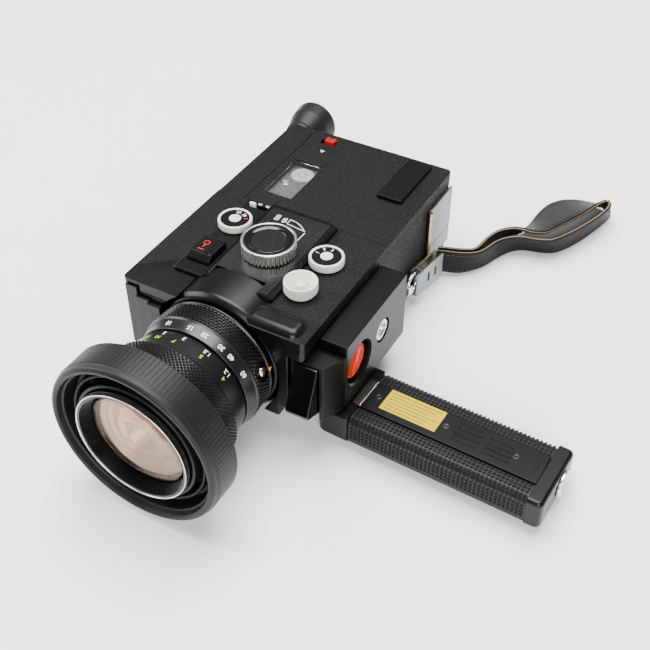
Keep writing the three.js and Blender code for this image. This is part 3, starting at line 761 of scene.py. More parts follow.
# Lens hood: a moulded rubber cup that grips the front cell. Its wall is ribbed outside, and folds once inside.
# The ribs are 2.1 mm wide with fine grooves between them.
HOOD_BACK, HOOD_FRONT, HOOD_RADIUS = -50, -69.5, 46.4
hood_profile = arced([
    (HOOD_BACK, 31), (HOOD_BACK, HOOD_RADIUS - 1.6, 1.0), (HOOD_BACK - 0.9, HOOD_RADIUS - 0.6),
    (-65.4, HOOD_RADIUS - 0.5),
    (-66.4, HOOD_RADIUS - 0.9), (-68.4, HOOD_RADIUS - 1.2, 1.5), (HOOD_FRONT, HOOD_RADIUS - 2.9, 1.2),
    (HOOD_FRONT + 0.5, HOOD_RADIUS - 4.4, 0.8), (-66, 41.2), (-65.6, 40.4), (-61, 40.0), (-57.4, 39.6),
    (-56.8, 37.4),
    (-62.6, 37.0, 0.7), (-63.4, 36.2, 0.7), (-62.6, 35.2, 0.7), (-55, 34.6), (-55, 33.6), (-62, 33.0),
    (-65.2, 32.8, 0.5), (-65.2, 31, 0.5),
], 0.6, 4, closed=True)
put("rubber_hood", turned(hood_profile, "Y", LENS, 192, closed=True), RUBBER, "focus_ring",
    ["lens_hood"])
RIB_COUNT = 126
rib = block((-1.06, 1.06, -7.0, 7.0, -0.4, 0.18), (lambda m, r: m.z > 0.1, 0.14, 2))
ribs = ring_of(rib, RUBBER, RIB_COUNT, 1, -58.2, -58.2, (HOOD_RADIUS - 0.52, HOOD_RADIUS - 0.52))
ribs.transform(AT_LENS)
put("hood_ribs", ribs, RUBBER, "focus_ring")

# Speed and mode dials: ivory cups with ribbed sides, a black printed face and a raised hub.
# Moulded ABS, cream white; each face carries plain numbers, their tops outwards.
IVORY = hazed("ivory white ABS, moulded", "#d9d6cc", 4, 0.3, 0.45, Specular_IOR_Level=0.35)
ON_Z = Matrix.Rotation(math.pi / 2, 4, "X")


def ribbed(tile, finish, around, height, radius, middle):
    """Ribs round a dial that stands along Z."""
    made = ring_of(tile, finish, around, 1, height, height, (radius, radius))
    made.transform(Matrix.Translation((*middle, 0)) @ ON_Z)
    return made


def outward(text, size, spot, middle, height):
    """A number printed flat on a dial, its top turned away from the dial's middle."""
    flat = numerals(text, size)
    away = math.atan2(middle[0] - spot[0], spot[1] - middle[1])
    flat.transform(Matrix.Translation((*spot, height)) @ Matrix.Rotation(away, 4, "Z"))
    return flat


fine_rib = block((-0.3, 0.3, -1.3, 1.3, -0.3, 0.4), (lambda m, r: m.z > 0.3, 0.15, 2))
for body, middle, top, inks in (
    ("speed_dial", (25.6, 62.8), 4.6, ((WHITE_INK, (("24", (24.5, 68.1)), ("18", (28.2, 67.4)))),
                                       (ORANGE_INK, (("1", (30.6, 65.1)),)))),
    ("mode_dial", (83, 58), 5.0, ((WHITE_INK, (("1", (77.6, 58.4)), ("2", (79.2, 62.3)),
                                               ("3", (83.2, 63.5)))),)),
):
    cup = arced([
        (GAP, 2), (GAP, 8.2), (0.8, 8.7), (top - 0.9, 8.7), (top - 0.7, 9.1), (top, 8.9), (top, 7.8),
        (top - 0.35, 7.6), (top - 0.35, 2),
    ], 0.3, 3, closed=True)
    put(body + "_cup", turned(cup, "Z", middle, closed=True), IVORY, body, [body])
    put(body + "_ribs", ribbed(fine_rib, IVORY, 60, 2.2, 8.7, middle), IVORY, body)
    face = turned([(top - 0.6, 3), (top - 0.6, 7.62), (top - 0.28, 7.62), (top - 0.28, 3)], "Z", middle,
                  closed=True)
    put(body + "_face", face, SATIN_BLACK, body)
    hub = arced([(top - 0.5, 0), (top - 0.5, 3.2), (top, 3.2, 0.3), (top, 0)], 0.2, 3)
    put(body + "_hub", turned(hub, "Z", middle, 48), IVORY, body)
    for ink, numbers in inks:
        for text, spot in numbers:
            put(f"{body}_{text}", outward(text, 2.7, spot, middle, top - 0.24), ink, body)

# Main dial: a nickel-plated knob with deep flutes, a polished rim and a black ring let into its top.
# Turned brass; each flute stands about 1 mm proud.
flute = block((-0.72, 0.72, -3.0, 3.0, -0.5, 0.85), (lambda m, r: m.z > 0.8 and abs(r.y) > 1, 0.66, 5))
middle = (MAIN_DIAL.x, MAIN_DIAL.y)
knob = arced([(3.6, 6), (3.6, 12.6), (4.2, 13.2), (9.9, 13.2), (10.2, 14.1), (10.9, 14.1), (11, 13.6),
              (11, 12.9),
              (10.6, 12.7), (7.8, 12.6), (7.8, 6)], 0.25, 3, closed=True)
put("main_knob", turned(knob, "Z", middle, 128, closed=True), NICKEL, "main_dial", ["main_dial"])
put("main_flutes", ribbed(flute, NICKEL, 42, 7.0, 13.3, middle), NICKEL, "main_dial")
inlay = arced([(9.3, 11.15), (9.3, 12.8), (10.9, 12.8), (10.9, 11.15)], 0.25, 3, closed=True)
put("main_inlay", turned(inlay, "Z", middle, 128, closed=True), SATIN_BLACK, "main_dial")

# Release pad: a gloss ring round a dished centre of the same leatherette as the body.
# It is pressed to free the main dial.
pad_ring = arced([(9.4, 8.6), (9.4, 11), (10.9, 11), (10.95, 10.4), (10.3, 9.0), (9.8, 8.6)], 0.3, 3,
                 closed=True)
put("pad_ring", turned(pad_ring, "Z", middle, closed=True), GLOSS_BLACK, "release_pad",
    ["release_pad"])
pad = arced([(9.5, 0), (9.5, 9.3), (10.1, 9.2), (10.35, 8.4), (10.45, 0)], 0.6, 3)
put("pad_centre", turned(pad, "Z", middle, 64), LEATHERETTE, "release_pad")

# Aperture dial: a white cup with a milled outside, a sloping floor with a ring of ticks, and a domed hub.
# Moulded like the small dials.
middle = (83, 32.5)
cup = arced([(GAP, 2), (GAP, 7.4), (1.2, 7.8), (6.4, 8.0), (6.6, 8.5), (7.4, 8.4), (7.4, 7.5), (6.6, 7.2),
             (4.1, 5.6),
             (3.9, 5.2), (3.9, 2)], 0.4, 3, closed=True)
put("aperture_cup", turned(cup, "Z", middle, closed=True), IVORY, "aperture_dial",
    ["aperture_dial"])
milling = block((-0.28, 0.28, -2.2, 2.2, -0.5, 0.5), (lambda m, r: m.z > 0.3, 0.15, 2))
put("aperture_ribs", ribbed(milling, IVORY, 56, 4.2, 8.0, middle), IVORY, "aperture_dial")
hub = arced([(3.6, 0), (3.6, 2.7), (5.9, 2.7, 0.6), (6.4, 0)], 0.3, 4)
put("aperture_hub", turned(hub, "Z", middle, 40), IVORY, "aperture_dial")
ticks = []
TICK_COUNT = 18
for i in range(TICK_COUNT):
    angle = 2 * math.pi * i / TICK_COUNT
    ticks.append([(middle[0] + r * math.cos(angle), middle[1] + r * math.sin(angle)) for r in (3.5, 5.0)])
BLACK_INK = new_ink("black epoxy ink, screened", "#232322")
put("aperture_ticks", printed_lines(ticks, 0.42, 3.91), BLACK_INK, "aperture_dial")

# Filter lever and power button, on the panel and the sill beside the control plate.
# The lever has a white tip; the button is satin black with a gloss strip and a plain red sign.
tip = block((22.6, 26.4, 80.7, 82.7, -3, 2.1), (upright, 0.9, 4), (lambda m, r: m.z > 2, 0.4, 3))
put("filter_tip", tip, IVORY, "filter_lever", ["filter_lever"])
squares = [[(x - 0.8, 83.9), (x + 0.8, 83.9), (x + 0.8, 85.0), (x - 0.8, 85.0), (x - 0.8, 83.9)]
           for x in (27.4, 32)]
put("filter_marks", printed_lines(squares, 0.35, 0.25), WHITE_INK, "camera_body")
button = block((20.8, 34, 25.5, 42.1, 1.6, 6.1), (lambda m, r: m.z > 6 and m.y < 26, 3.0, 1),
               (lambda m, r: m.z > 2 or upright(m, r), 0.6, 3))
put("power_cap", button, SATIN_BLACK, "power_button", ["power_button"])
strip = block((29.4, 33.2, 28.6, 41.3, 5.6, 6.3), (upright, 0.4, 2), (lambda m, r: m.z > 6.2, 0.25, 2))
put("power_strip", strip, GLOSS_BLACK, "power_button")
sign = [[(27.6, 31.0), (24.4, 31.0)], [(26.0, 33.0), (26.0, 34.6)]]
sign += [[(26 + 1.5 * math.cos(a / 2), 36.6 + 1.5 * math.sin(a / 2)) for a in range(-5, 7)]]
put("power_sign", printed_lines(sign, 0.45, 6.08), RED_INK, "power_button")

# Nameplate: stepped plates of brushed aluminium across the nose, left blank.
# The brushed lines stand upright, 0.2 mm apart.
BRUSHED, tree, shader, place = new_material("brushed aluminium, smoke lacquered", "#2c2c2d", Metallic=0.8)
stretch = add_node(tree, "ShaderNodeMapping", {"Scale": (1000 / 12, 1000 / 0.2, 1000 / 0.2)},
                   {"Vector": place})
lines = add_node(tree, "ShaderNodeTexNoise", {"Scale": 1.0, "Detail": 2}, {"Vector": stretch.outputs[0]})
sheen = add_node(tree, "ShaderNodeMapRange", {"To Min": 0.3, "To Max": 0.5}, {"Value": lines.outputs[0]})
tree.links.new(sheen.outputs[0], shader.inputs["Roughness"])
put("blank_nameplate", eased("nameplate", 0.25), BRUSHED, "camera_body", ["nameplate"],
    axes=METRES)


# Film door: the leatherette-covered side that swings open, with an opening for the window.
# The red latch slides in a slot at its rear, and a satin bar gives the thumb a hold.
door = block(
    (SEAM_X, LOWER_EDGE, SEAM_Y + GAP, 165, COVER_BACK, 0),
    (lambda m, r: upright(m, r) and m.y > 164, 2.4, 5),
    (lambda m, r: m.z > -0.1 and m.x > 103, 5.0, 8),
    (lambda m, r: on_top(m, r) and m.x < 103, 0.8, 3),
)
plug = block((20.5, 98, 89.5, 159, -6.6, -4.9), (upright, 1, 3))
window_hole = block((21, 39, 97, 132, -9, 1), (upright, 0.4, 2))
latch_slot = block((24.4, 34, 154, 159, -2.4, 1), (upright, 0.3, 2))
door = carved(carved(door, plug, operation="UNION"), window_hole, latch_slot)
put("hinged_door", door, LEATHERETTE, "film_door", ["film_door"])
bar = block((78.4, 93, 121, 161, GAP, 2.4), (upright, 0.5, 3), (lambda m, r: m.z > 2.3, 0.45, 3))
eye = turned([(1.6, 0), (1.6, 0.45), (3, 0.45), (3, 0)], "Z", (91.4, 159.2), 20)
put("thumb_bar", carved(bar, eye), SATIN_BLACK, "film_door", ["door_grip_bar"])
RED_PLASTIC = hazed("red ABS, moulded", "#9c0504", 4, 0.25, 0.4, Specular_IOR_Level=0.35)
latch = block((27.4, 33.4, 154.4, 158.6, -2.1, 2.2), (upright, 0.4, 3), (lambda m, r: m.z > 2.1, 0.4, 3))
latch_groove = block((29.6, 31.2, 154, 159, 1.7, 3), (lambda m, r: m.z < 2, 0.2, 2))
put("red_latch", carved(latch, latch_groove), RED_PLASTIC, "door_latch", ["door_latch"])
arrow = [[(29.0, 147.2), (30.4, 145.4), (31.4, 147.2), (29.0, 147.2)]]
put("latch_mark", printed_lines(arrow, 0.35, -0.02), WHITE_INK, "film_door")

# Window: clear acrylic over a silvered tray with a locating pin and a pierced disc.
# The tray is frosted, so it looks pale and grainy under the window.
ACRYLIC = hazed("clear acrylic, moulded", "#f4f6f6", 6, 0.0, 0.04, IOR=1.49, Transmission_Weight=1.0)
pane = block((21.3, 38.7, 97.3, 131.7, -1.9, -0.3), (lambda m, r: m.z > -1, 0.3, 2))
put("clear_pane", pane, ACRYLIC, "film_door", ["door_window"])
FROSTED, tree, shader, place = new_material("frosted aluminium", "#a9a9a5", Metallic=0.7, Roughness=0.45)
grain = add_node(tree, "ShaderNodeTexNoise", {"Scale": 1000 / 0.9, "Detail": 4, "Roughness": 0.8},
                 {"Vector": place})
tone = add_node(tree, "ShaderNodeValToRGB", links={"Fac": grain.outputs[0]})
tone.color_ramp.elements[0].position, tone.color_ramp.elements[0].color = 0.35, srgb("#4f4e4b")
tone.color_ramp.elements[1].position, tone.color_ramp.elements[1].color = 0.62, srgb("#9c9c98")
bump = add_node(tree, "ShaderNodeBump", {"Strength": 0.4, "Distance": 0.0002}, {"Height": grain.outputs[0]})
tree.links.new(tone.outputs[0], shader.inputs["Base Color"])
tree.links.new(bump.outputs[0], shader.inputs["Normal"])
put("frosted_tray", block((20.9, 39.1, 96.9, 132.1, -5.4, -4.9)), FROSTED, "film_door")
pin = arced([(-5, 0), (-5, 2.6), (-4, 2.6), (-4, 1.9), (-2.6, 1.9, 0.4), (-2.6, 0)], 0.2, 3)
put("window_pin", turned(pin, "Z", (25.6, 113.5), 40), NICKEL, "film_door")
disc = turned(arced([(-5, 0), (-5, 6.4), (-4.4, 6.4), (-4.2, 5.8), (-4.2, 0)], 0.2, 2), "Z", (30, 124.6), 64)
pierced = [turned([(-4.6, 0), (-4.6, 0.55), (-3, 0.55), (-3, 0)], "Z",
                  (30 + 4.6 * math.cos(2 * math.pi * i / 14), 124.6 + 4.6 * math.sin(2 * math.pi * i / 14)),
                  12)
           for i in range(14)]
put("pierced_disc", carved(disc, *pierced), IVORY, "film_door")
ring = [(30 + 2.4 * math.cos(math.pi * i / 12), 124.6 + 2.4 * math.sin(math.pi * i / 12)) for i in range(25)]
put("disc_mark", printed_lines([ring], 0.5, -4.2), RED_INK, "film_door")

# Works inside: gate, spindle, shutter, motor, cells and lens groups, seen when the door or the grip is opened.
# They keep their CAD shapes, with the edges broken as machined parts have.
STEEL = hazed("ground steel", "#85898d", 4, 0.3, 0.46, Metallic=1.0)
BRASS = hazed("lacquered brass", "#b8a47c", 5, 0.2, 0.36, Metallic=1.0)
SOLDER_MASK = hazed("glass-fibre board, green solder mask", "#2c5a34", 2, 0.3, 0.5)
CELL_SLEEVE = hazed("dry cell, printed film sleeve", "#2b2d31", 6, 0.25, 0.4, Metallic=0.3)
for node, material, body, slot, width in (
    ("film_gate", STEEL, "camera_body", "steel", 0.3),
    ("takeup_spindle", NICKEL, "takeup_spindle", "nickel", 0.25),
    ("pressure_pad", STEEL, "film_door", "steel", 0.4),
    ("shutter", STEEL, "shutter", "steel", 0.1),
    ("drive_gear", BRASS, "shutter", "brass", 0.2),
    ("motor", STEEL, "camera_body", "steel", 0.5),
    ("circuit_board", SOLDER_MASK, "camera_body", "board", 0.1),
    ("lens_tube", ENAMEL, "camera_body", "black_paint", 0.2),
    ("zoom_glass_group", COATED_GLASS, "camera_body", "glass", 0.3),
    ("relay_glass_group", COATED_GLASS, "camera_body", "glass", 0.3),
    ("grip_pivot", STEEL, "camera_body", "steel", 0.4),
    ("battery_front_1", CELL_SLEEVE, "grip", "steel", 0.5),
    ("battery_front_2", CELL_SLEEVE, "grip", "steel", 0.5),
    ("battery_rear_1", CELL_SLEEVE, "grip", "steel", 0.5),
    ("battery_rear_2", CELL_SLEEVE, "grip", "steel", 0.5),
):
    put("works_" + node, eased(node, width, 2), material, body, [node], axes=METRES)

# Finder: the cast housing along the top of the body, its eyepiece and the moulded rubber eyecup.
# The eyecup flares to a soft round rim, with a fold where it grips the tube.
put("finder_roof", eased("finder_housing", 0.8), ENAMEL, "camera_body", ["finder_housing"],
    axes=METRES)
FINDER = (-0.5, -14.5)
barrel = arced([(165.3, 6), (165.3, 7.6), (178, 7.6), (178, 6)], 0.4, 3, closed=True)
put("eyepiece_barrel", turned(barrel, "Y", FINDER, closed=True), BLACK_ANODISED, "eyepiece",
    ["eyepiece_tube"])
eye_lens = arced([(170, 0), (170, 5.6), (173, 5.6), (174, 3.2), (174.3, 0)], 0.8, 4)
put("eyepiece_glass", turned(eye_lens, "Y", FINDER, 64), COATED_GLASS, "eyepiece", ["eyepiece_lens"])
cup = arced([(172, 8), (172, 9.4), (174, 10.0), (175, 9.5), (178, 10.8), (184, 12.9), (190, 13.6),
             (193, 13.9, 1.2),
             (193.8, 12.6, 1.0), (186, 10.6), (178.4, 6.6), (178.4, 8)], 0.8, 5, closed=True)
put("rubber_eyecup", turned(cup, "Y", FINDER, closed=True), RUBBER, "eyepiece", ["eyecup"])


# Base: the cast block under the body, with the tripod bush and the folding lever of the grip's lock.
# Its edges are rounded 0.5 mm, and its finish is the satin black of the plastic parts.
BASE_BOX = (103.6, 118.4, 14.5, 78, -46.4, -6.5)
base = block(BASE_BOX, (lambda m, r: True, 0.5, 3))
bush_hole = turned([(110, 0), (110, 6.8), (120, 6.8), (120, 0)], "X", (52.5, -24.7), 64)
button_hole = turned([(109.4, 0), (109.4, 11.5), (117.4, 11.5), (120, 14), (120, 0)], "X", (28, -26.5), 96)
pivot_hole = turned([(-50, 0), (-50, 5.3), (-40.2, 5.3), (-40.2, 0)], "Z", (111, 29.5), 48)
put("cast_base", carved(base, bush_hole, button_hole, pivot_hole), SATIN_BLACK, "camera_body",
    ["base_block"])
thread = [(110.3, 5.9), (117.5, 5.9), (117.8, 5.6), (117.8, 4.2)]
THREAD_PITCH = 1.27
for i in range(6):
    thread += [(117.5 - i * THREAD_PITCH, 4.0), (116.9 - i * THREAD_PITCH, 3.3)]
thread += [(110.3, 3.6)]
put("threaded_bush", turned(thread, "X", (52.5, -24.7), 64, closed=True), NICKEL, "camera_body",
    ["tripod_bush"])
ORANGE_PLASTIC = hazed("orange ABS, moulded", "#c22600", 4, 0.22, 0.36, Specular_IOR_Level=0.3)
knob = arced([(111.8, 0), (111.8, 9.4), (115.6, 9.4), (116, 8.9), (115.2, 8.2), (115, 0)], 0.3, 3)
put("release_cap", turned(knob, "X", (28, -26.5), 64), ORANGE_PLASTIC, "release_button",
    ["release_button"])
ridge = block((114.6, 116.8, -1.5, 1.5, -8.2, 8.2), (lambda m, r: m.x > 116 or abs(r.x) > 1, 0.7, 4))
ridge.transform(Matrix.Translation((0, 28, -26.5)) @ Matrix.Rotation(math.radians(-20), 4, "X"))
put("release_ridge", ridge, ORANGE_PLASTIC, "release_button")
put("trigger_guard", eased("trigger_block", 0.45), SATIN_BLACK, "camera_body",
    ["trigger_block"],
    crease=20, axes=METRES)
put("trigger_lever", eased("trigger", 0.9, 4), GLOSS_BLACK, "trigger", ["trigger"],
    axes=METRES)

# Steel door and rear plate on the underside, with the door's brass hinge.
# The knuckles are 5 mm long with a hair's gap between them.
put("steel_door", block((103.6, 104.8, 136.6, 164.6, -35.3, -9.6), (lambda m, r: abs(r.x) > 0.5, 0.6, 3)),
    STEEL,
    "battery_door", ["battery_door"])
put("steel_plate", eased("rear_plate", 0.2), STEEL, "camera_body", ["rear_plate"], axes=METRES)
knuckle = []
for i in range(5):
    z = -35 + i * 5
    knuckle += [(z + 0.1, 1.1), (z + 0.3, 1.3), (z + 4.7, 1.3), (z + 4.9, 1.1)]
knuckle = [(-34.9, 0), *knuckle, (-10.1, 0)]
put("door_hinge", turned(knuckle, "Z", (104.9, 135.6), 32), BRASS, "battery_door")

# Strap fittings: a nickel lug under the body, a round wire ring and a folded clasp.
# The clasp is folded from stamped steel, with two slots in each face and brass lips.
put("lug", eased("strap_lug", 0.4), NICKEL, "camera_body", ["strap_lug"], axes=METRES)
RING_MIDDLE, RING_RADIUS, WIRE = Vector((107.3, 110.5, -41)), 6, 0.9
wire = [(WIRE * math.sin(2 * math.pi * i / 16), RING_RADIUS + WIRE * math.cos(2 * math.pi * i / 16))
        for i in range(16)]
hoop = turned([(RING_MIDDLE.x + a, r) for a, r in wire], "X", (RING_MIDDLE.y, RING_MIDDLE.z), 96, closed=True)
put("wire_ring", hoop, NICKEL, "strap_ring", ["strap_ring"])
CLASP_AXES = BODY_AXES @ Matrix.Translation((107.3, 116.5, -44)) @ Matrix.Rotation(math.radians(-9), 4, "Z")
clasp = carved(
    block((-3, 3, -2.6, 22, -8, 7.6), (lambda m, r: abs(r.z) > 5 and m.y < 0, 1.6, 4),
          (lambda m, r: m.y > 21, 0.3, 2)),
    block((-1.8, 1.8, -4, 1.4, -4.4, 9)), block((-1.9, 1.9, 3, 23, -9, 9)),
    *[block((-5, 5, y, y + 2.4, -2.6, 3.4), (lambda m, r: abs(r.x) > 5 and m.z > 0, 1.1, 4))
      for y in (6.5, 13)],
)
put("folded_clasp", clasp, STEEL, "strap", ["strap_clasp"], axes=CLASP_AXES)
for side in (-1, 1):
    lip = block(sorted((side * 1.8, side * 3.0)) + [2, 21.6, 7.5, 8.0], (lambda m, r: m.z > 7.9, 0.2, 2))
    put(f"clasp_lip_{'inner' if side < 0 else 'outer'}", lip, BRASS, "strap", axes=CLASP_AXES)

# Wrist strap: a band of grained black leather, doubled and stitched, that lies behind the camera on its edge.
# Each ply is 2.2 mm thick with a raw tan core; the far end is the loop where the band turns back.
LEATHER, tree, shader, place = new_material(
    "black bridle leather, grained", "#0b0b0b", Specular_IOR_Level=0.14,
)
creases = add_node(tree, "ShaderNodeTexVoronoi", {"feature": "DISTANCE_TO_EDGE", "Scale": 1000 / 1.3},
                   {"Vector": place})
folds = add_node(tree, "ShaderNodeTexNoise", {"Scale": 1000 / 7, "Detail": 6, "Roughness": 0.65},
                 {"Vector": place})
height = add_node(tree, "ShaderNodeMath", {"operation": "MULTIPLY_ADD", 1: 0.8},
                  {0: creases.outputs["Distance"], 2: folds.outputs[0]})
tone = add_node(tree, "ShaderNodeValToRGB", links={"Fac": folds.outputs[0]})
tone.color_ramp.elements[0].position, tone.color_ramp.elements[0].color = 0.3, srgb("#040404")
tone.color_ramp.elements[1].position, tone.color_ramp.elements[1].color = 0.75, srgb("#111112")
sheen = add_node(tree, "ShaderNodeMapRange", {"To Min": 0.36, "To Max": 0.6}, {"Value": folds.outputs[0]})
bump = add_node(tree, "ShaderNodeBump", {"Strength": 0.5, "Distance": 0.0004}, {"Height": height.outputs[0]})
tree.links.new(tone.outputs[0], shader.inputs["Base Color"])
tree.links.new(sheen.outputs[0], shader.inputs["Roughness"])
tree.links.new(bump.outputs[0], shader.inputs["Normal"])
RAW_EDGE = hazed("raw tan leather edge", "#8f7450", 2, 0.7, 0.9)
THREAD = hazed("waxed black thread", "#1c1c1d", 1, 0.45, 0.65)
# The table's axes: X as the body's, Y back from the body's rear edge, Z up; all in millimetres.
rest = BODY_AXES @ Vector((0, 165, -54))
TABLE_AXES = Matrix.Translation((rest.x, rest.y, 0)) @ Matrix.Scale(0.001, 4)


def smooth_route(points, count):
    """The corners of a route as an even run of points on a smooth curve through them."""
    points = [Vector(p) for p in points]
    lengths = [0]
    for a, b in zip(points, points[1:]):
        lengths.append(lengths[-1] + (b - a).length)
    made = []
    for step in range(count):
        reach = lengths[-1] * step / (count - 1)
        i = max(j for j in range(len(points) - 1) if lengths[j] <= reach + 1e-9)
        t = (reach - lengths[i]) / (lengths[i + 1] - lengths[i])
        a, b = points[max(i - 1, 0)], points[i]
        c, d = points[i + 1], points[min(i + 2, len(points) - 1)]
        made.append(b + ((c - a) * t + (2 * a - 5 * b + 4 * c - d) * t * t + (3 * b - a - 3 * c + d) * t ** 3) / 2)
    return made


def ply(low_route, high_route, thick, count=120):
    """A band between a low edge and a high edge, with its raw core showing as a strip along the high edge."""
    lows, highs = smooth_route(low_route, count), smooth_route(high_route, count)
    verts, faces = [], []
    section = [(-0.5, 0.02), (-0.5, 0.97), (-0.36, 1), (-0.09, 1), (0.09, 1), (0.36, 1), (0.5, 0.97),
               (0.5, 0.02)]
    size = len(section)
    for i in range(count):
        low, high = lows[i], highs[i]
        run = (highs[min(i + 1, count - 1)] - highs[max(i - 1, 0)]).normalized()
        side = run.cross(high - low).normalized() * thick
        verts += [low + (high - low) * v + side * u for u, v in section]
    for i in range(count - 1):
        for j in range(size):
            k = (j + 1) % size
            faces.append((i * size + j, i * size + k, (i + 1) * size + k, (i + 1) * size + j))
    faces += [tuple(range(size)), tuple(range((count - 1) * size, count * size))]
    made = as_mesh(from_lists(verts, faces))
    for face in range((count - 1) * size):
        made.polygons[face].material_index = int(face % size == 3)
    return made, lows, highs


def stitches(lows, highs, share, offset):
    """A row of thread along a ply, at a share of its height and an offset from its middle."""
    pairs = []
    for i in range(1, len(lows) - 1):
        side = (highs[i + 1] - highs[i - 1]).cross(highs[i] - lows[i]).normalized() * offset
        pairs.append(lows[i] + (highs[i] - lows[i]) * share + side)
    line = bpy.data.meshes.new("seam")
    line.from_pydata([tuple(p) for p in pairs], [(i, i + 1) for i in range(len(pairs) - 1)], [])
    return line


SEAM_TREE, seam_in, seam_out = tile_tree("stitches_on_a_seam", [
    ("Stitch", "Object"), ("Pitch", "Float"), ("Finish", "Material"),
])
tree = SEAM_TREE
path = add_node(tree, "GeometryNodeMeshToCurve", links={"Mesh": seam_in.outputs["Geometry"]})
evenly = add_node(tree, "GeometryNodeResampleCurve", {"mode": "LENGTH"},
                  {"Curve": path.outputs[0], "Length": seam_in.outputs["Pitch"]})
tangent = add_node(tree, "GeometryNodeInputTangent")
facing = add_node(tree, "FunctionNodeAlignEulerToVector", {"axis": "X"}, {"Vector": tangent.outputs[0]})
stitch = add_node(tree, "GeometryNodeObjectInfo", links={"Object": seam_in.outputs["Stitch"]})
copies = add_node(tree, "GeometryNodeInstanceOnPoints", links={
    "Points": evenly.outputs[0], "Instance": stitch.outputs["Geometry"], "Rotation": facing.outputs[0]})
real = add_node(tree, "GeometryNodeRealizeInstances", links={"Geometry": copies.outputs[0]})
finish = add_node(tree, "GeometryNodeSetMaterial",
                  links={"Geometry": real.outputs[0], "Material": seam_in.outputs["Finish"]})
tree.links.new(finish.outputs[0], seam_out.inputs[0])
stitch_mesh = block((-0.9, 0.9, -0.25, 0.25, -0.25, 0.25), (lambda m, r: True, 0.2, 2))

TOP, FOOT = 15.5, 1.2
outer_high = [(108.7, -23.1, 19), (111.5, -21.4, 18.6), (122.3, -16.4, 17.2), (129.6, -9, TOP),
              (134.3, 2.2, TOP),
              (138.9, 8.1, TOP), (145.4, 12.2, TOP), (156, 14.7, TOP), (163.5, 19.2, TOP), (172.1, 33.4, TOP),
              (179.4, 50.7, TOP), (181.1, 60.2, TOP), (178.6, 63.4, TOP)]
outer_low = [(109.3, -24.2, 4.2), (111.5, -22.6, 3.8), (121.3, -17.4, 2.4), (129.7, -6.2, FOOT),
             (134.4, 4.2, FOOT),
             (139.6, 13, FOOT), (146.3, 17.7, FOOT), (156.9, 20.5, FOOT), (164.4, 25.2, FOOT),
             (172, 38.7, FOOT),
             (178.1, 55.9, FOOT), (180.4, 66.6, FOOT), (178.4, 71.4, FOOT)]
inner_high = [(108.4, -20.4, 19), (111.0, -18.8, 18.6), (121.3, -13.7, 17.2), (126.4, -8, TOP),
              (128.9, 3.2, TOP),
              (132.4, 11.4, TOP), (138.2, 16.4, TOP), (144.1, 18.3, TOP), (150.1, 18.6, TOP), (157.2, 22, TOP),
              (162.3, 30.6, TOP), (169.2, 43.3, TOP), (175.6, 58.4, TOP), (178.6, 63.4, TOP)]
inner_low = [(108.8, -21.6, 4.2), (110.8, -20.0, 3.8), (120.1, -14.8, 2.4), (125.4, -7, FOOT),
             (127.9, 6.2, FOOT),
             (131.4, 17.4, FOOT), (136.2, 26.4, FOOT), (140.7, 36.3, FOOT), (142.1, 48.4, FOOT),
             (144.5, 59.4, FOOT),
             (150.3, 67.5, FOOT), (159.7, 72.2, FOOT), (170.6, 73.4, FOOT), (178.4, 71.4, FOOT)]
for name, low_route, high_route in (("outer", outer_low, outer_high), ("inner", inner_low, inner_high)):
    band, lows, highs = ply(low_route, high_route, 2.2)
    core = [p.material_index for p in band.polygons]
    piece = put(f"strap_{name}_ply", band, [LEATHER, RAW_EDGE], "strap",
                ["wrist_strap"] if name == "outer" else [], axes=TABLE_AXES)
    piece.data.polygons.foreach_set("material_index", core)
    for share in (0.12, 0.87):
        for offset in (-1.12, 1.12):
            pattern = bpy.data.objects.new("stitch", stitch_mesh)
            bpy.context.scene.collection.objects.link(pattern)
            seam = grown(SEAM_TREE, stitches(lows, highs, share, offset),
                         {"Stitch": pattern, "Pitch": 2.8, "Finish": THREAD})
            bpy.data.objects.remove(pattern)
            label = f"strap_{name}_seam_{'low' if share < 0.5 else 'high'}_{'left' if offset < 0 else 'right'}"
            put(label, seam, THREAD, "strap", axes=TABLE_AXES)


# Grip: the battery handle, swung out on its pivot; its own axes lean 2.3 degrees forward of the body's.
# Rubberised shell with moulded pyramids 2.15 mm apart, round a smooth strip; collar and end cap are enamelled.
GRIP_AXES = (
    BODY_AXES @ Matrix.Translation((111, 29.5, 0)) @ Matrix.Rotation(math.radians(-2.3), 4, "Z")
    @ Matrix.Translation((-111, 0, 0))
)
HALF_GRIP, GRIP_LOW, GRIP_HIGH = 20, -65, -47.4
collar = block((104, 122.7, -HALF_GRIP, HALF_GRIP, GRIP_LOW, GRIP_HIGH),
               (lambda m, r: upright(m, r) and m.x < 110, 6, 8),
               (lambda m, r: m.x < 122 and abs(m.z + 56) > 8 or abs(m.y) > 19, 2.4, 5))
put("grip_neck", collar, ENAMEL, "grip", ["grip_collar"], axes=GRIP_AXES)
CORNER, SUNK = 5, 0.75
shell = block((123, 217, -HALF_GRIP + SUNK, HALF_GRIP - SUNK, GRIP_LOW + SUNK, GRIP_HIGH - SUNK),
              (lambda m, r: abs(r.x) > 50 and m.z > -56, CORNER - SUNK, 8),
              (lambda m, r: abs(r.x) > 50 and m.z < -60, 1.2, 3))
shell = carved(shell, block((125, 218, -15.6, 15.6, -63.4, -48.8)))
put("grip_body", shell, RUBBER, "grip", ["grip_shell"], axes=GRIP_AXES)

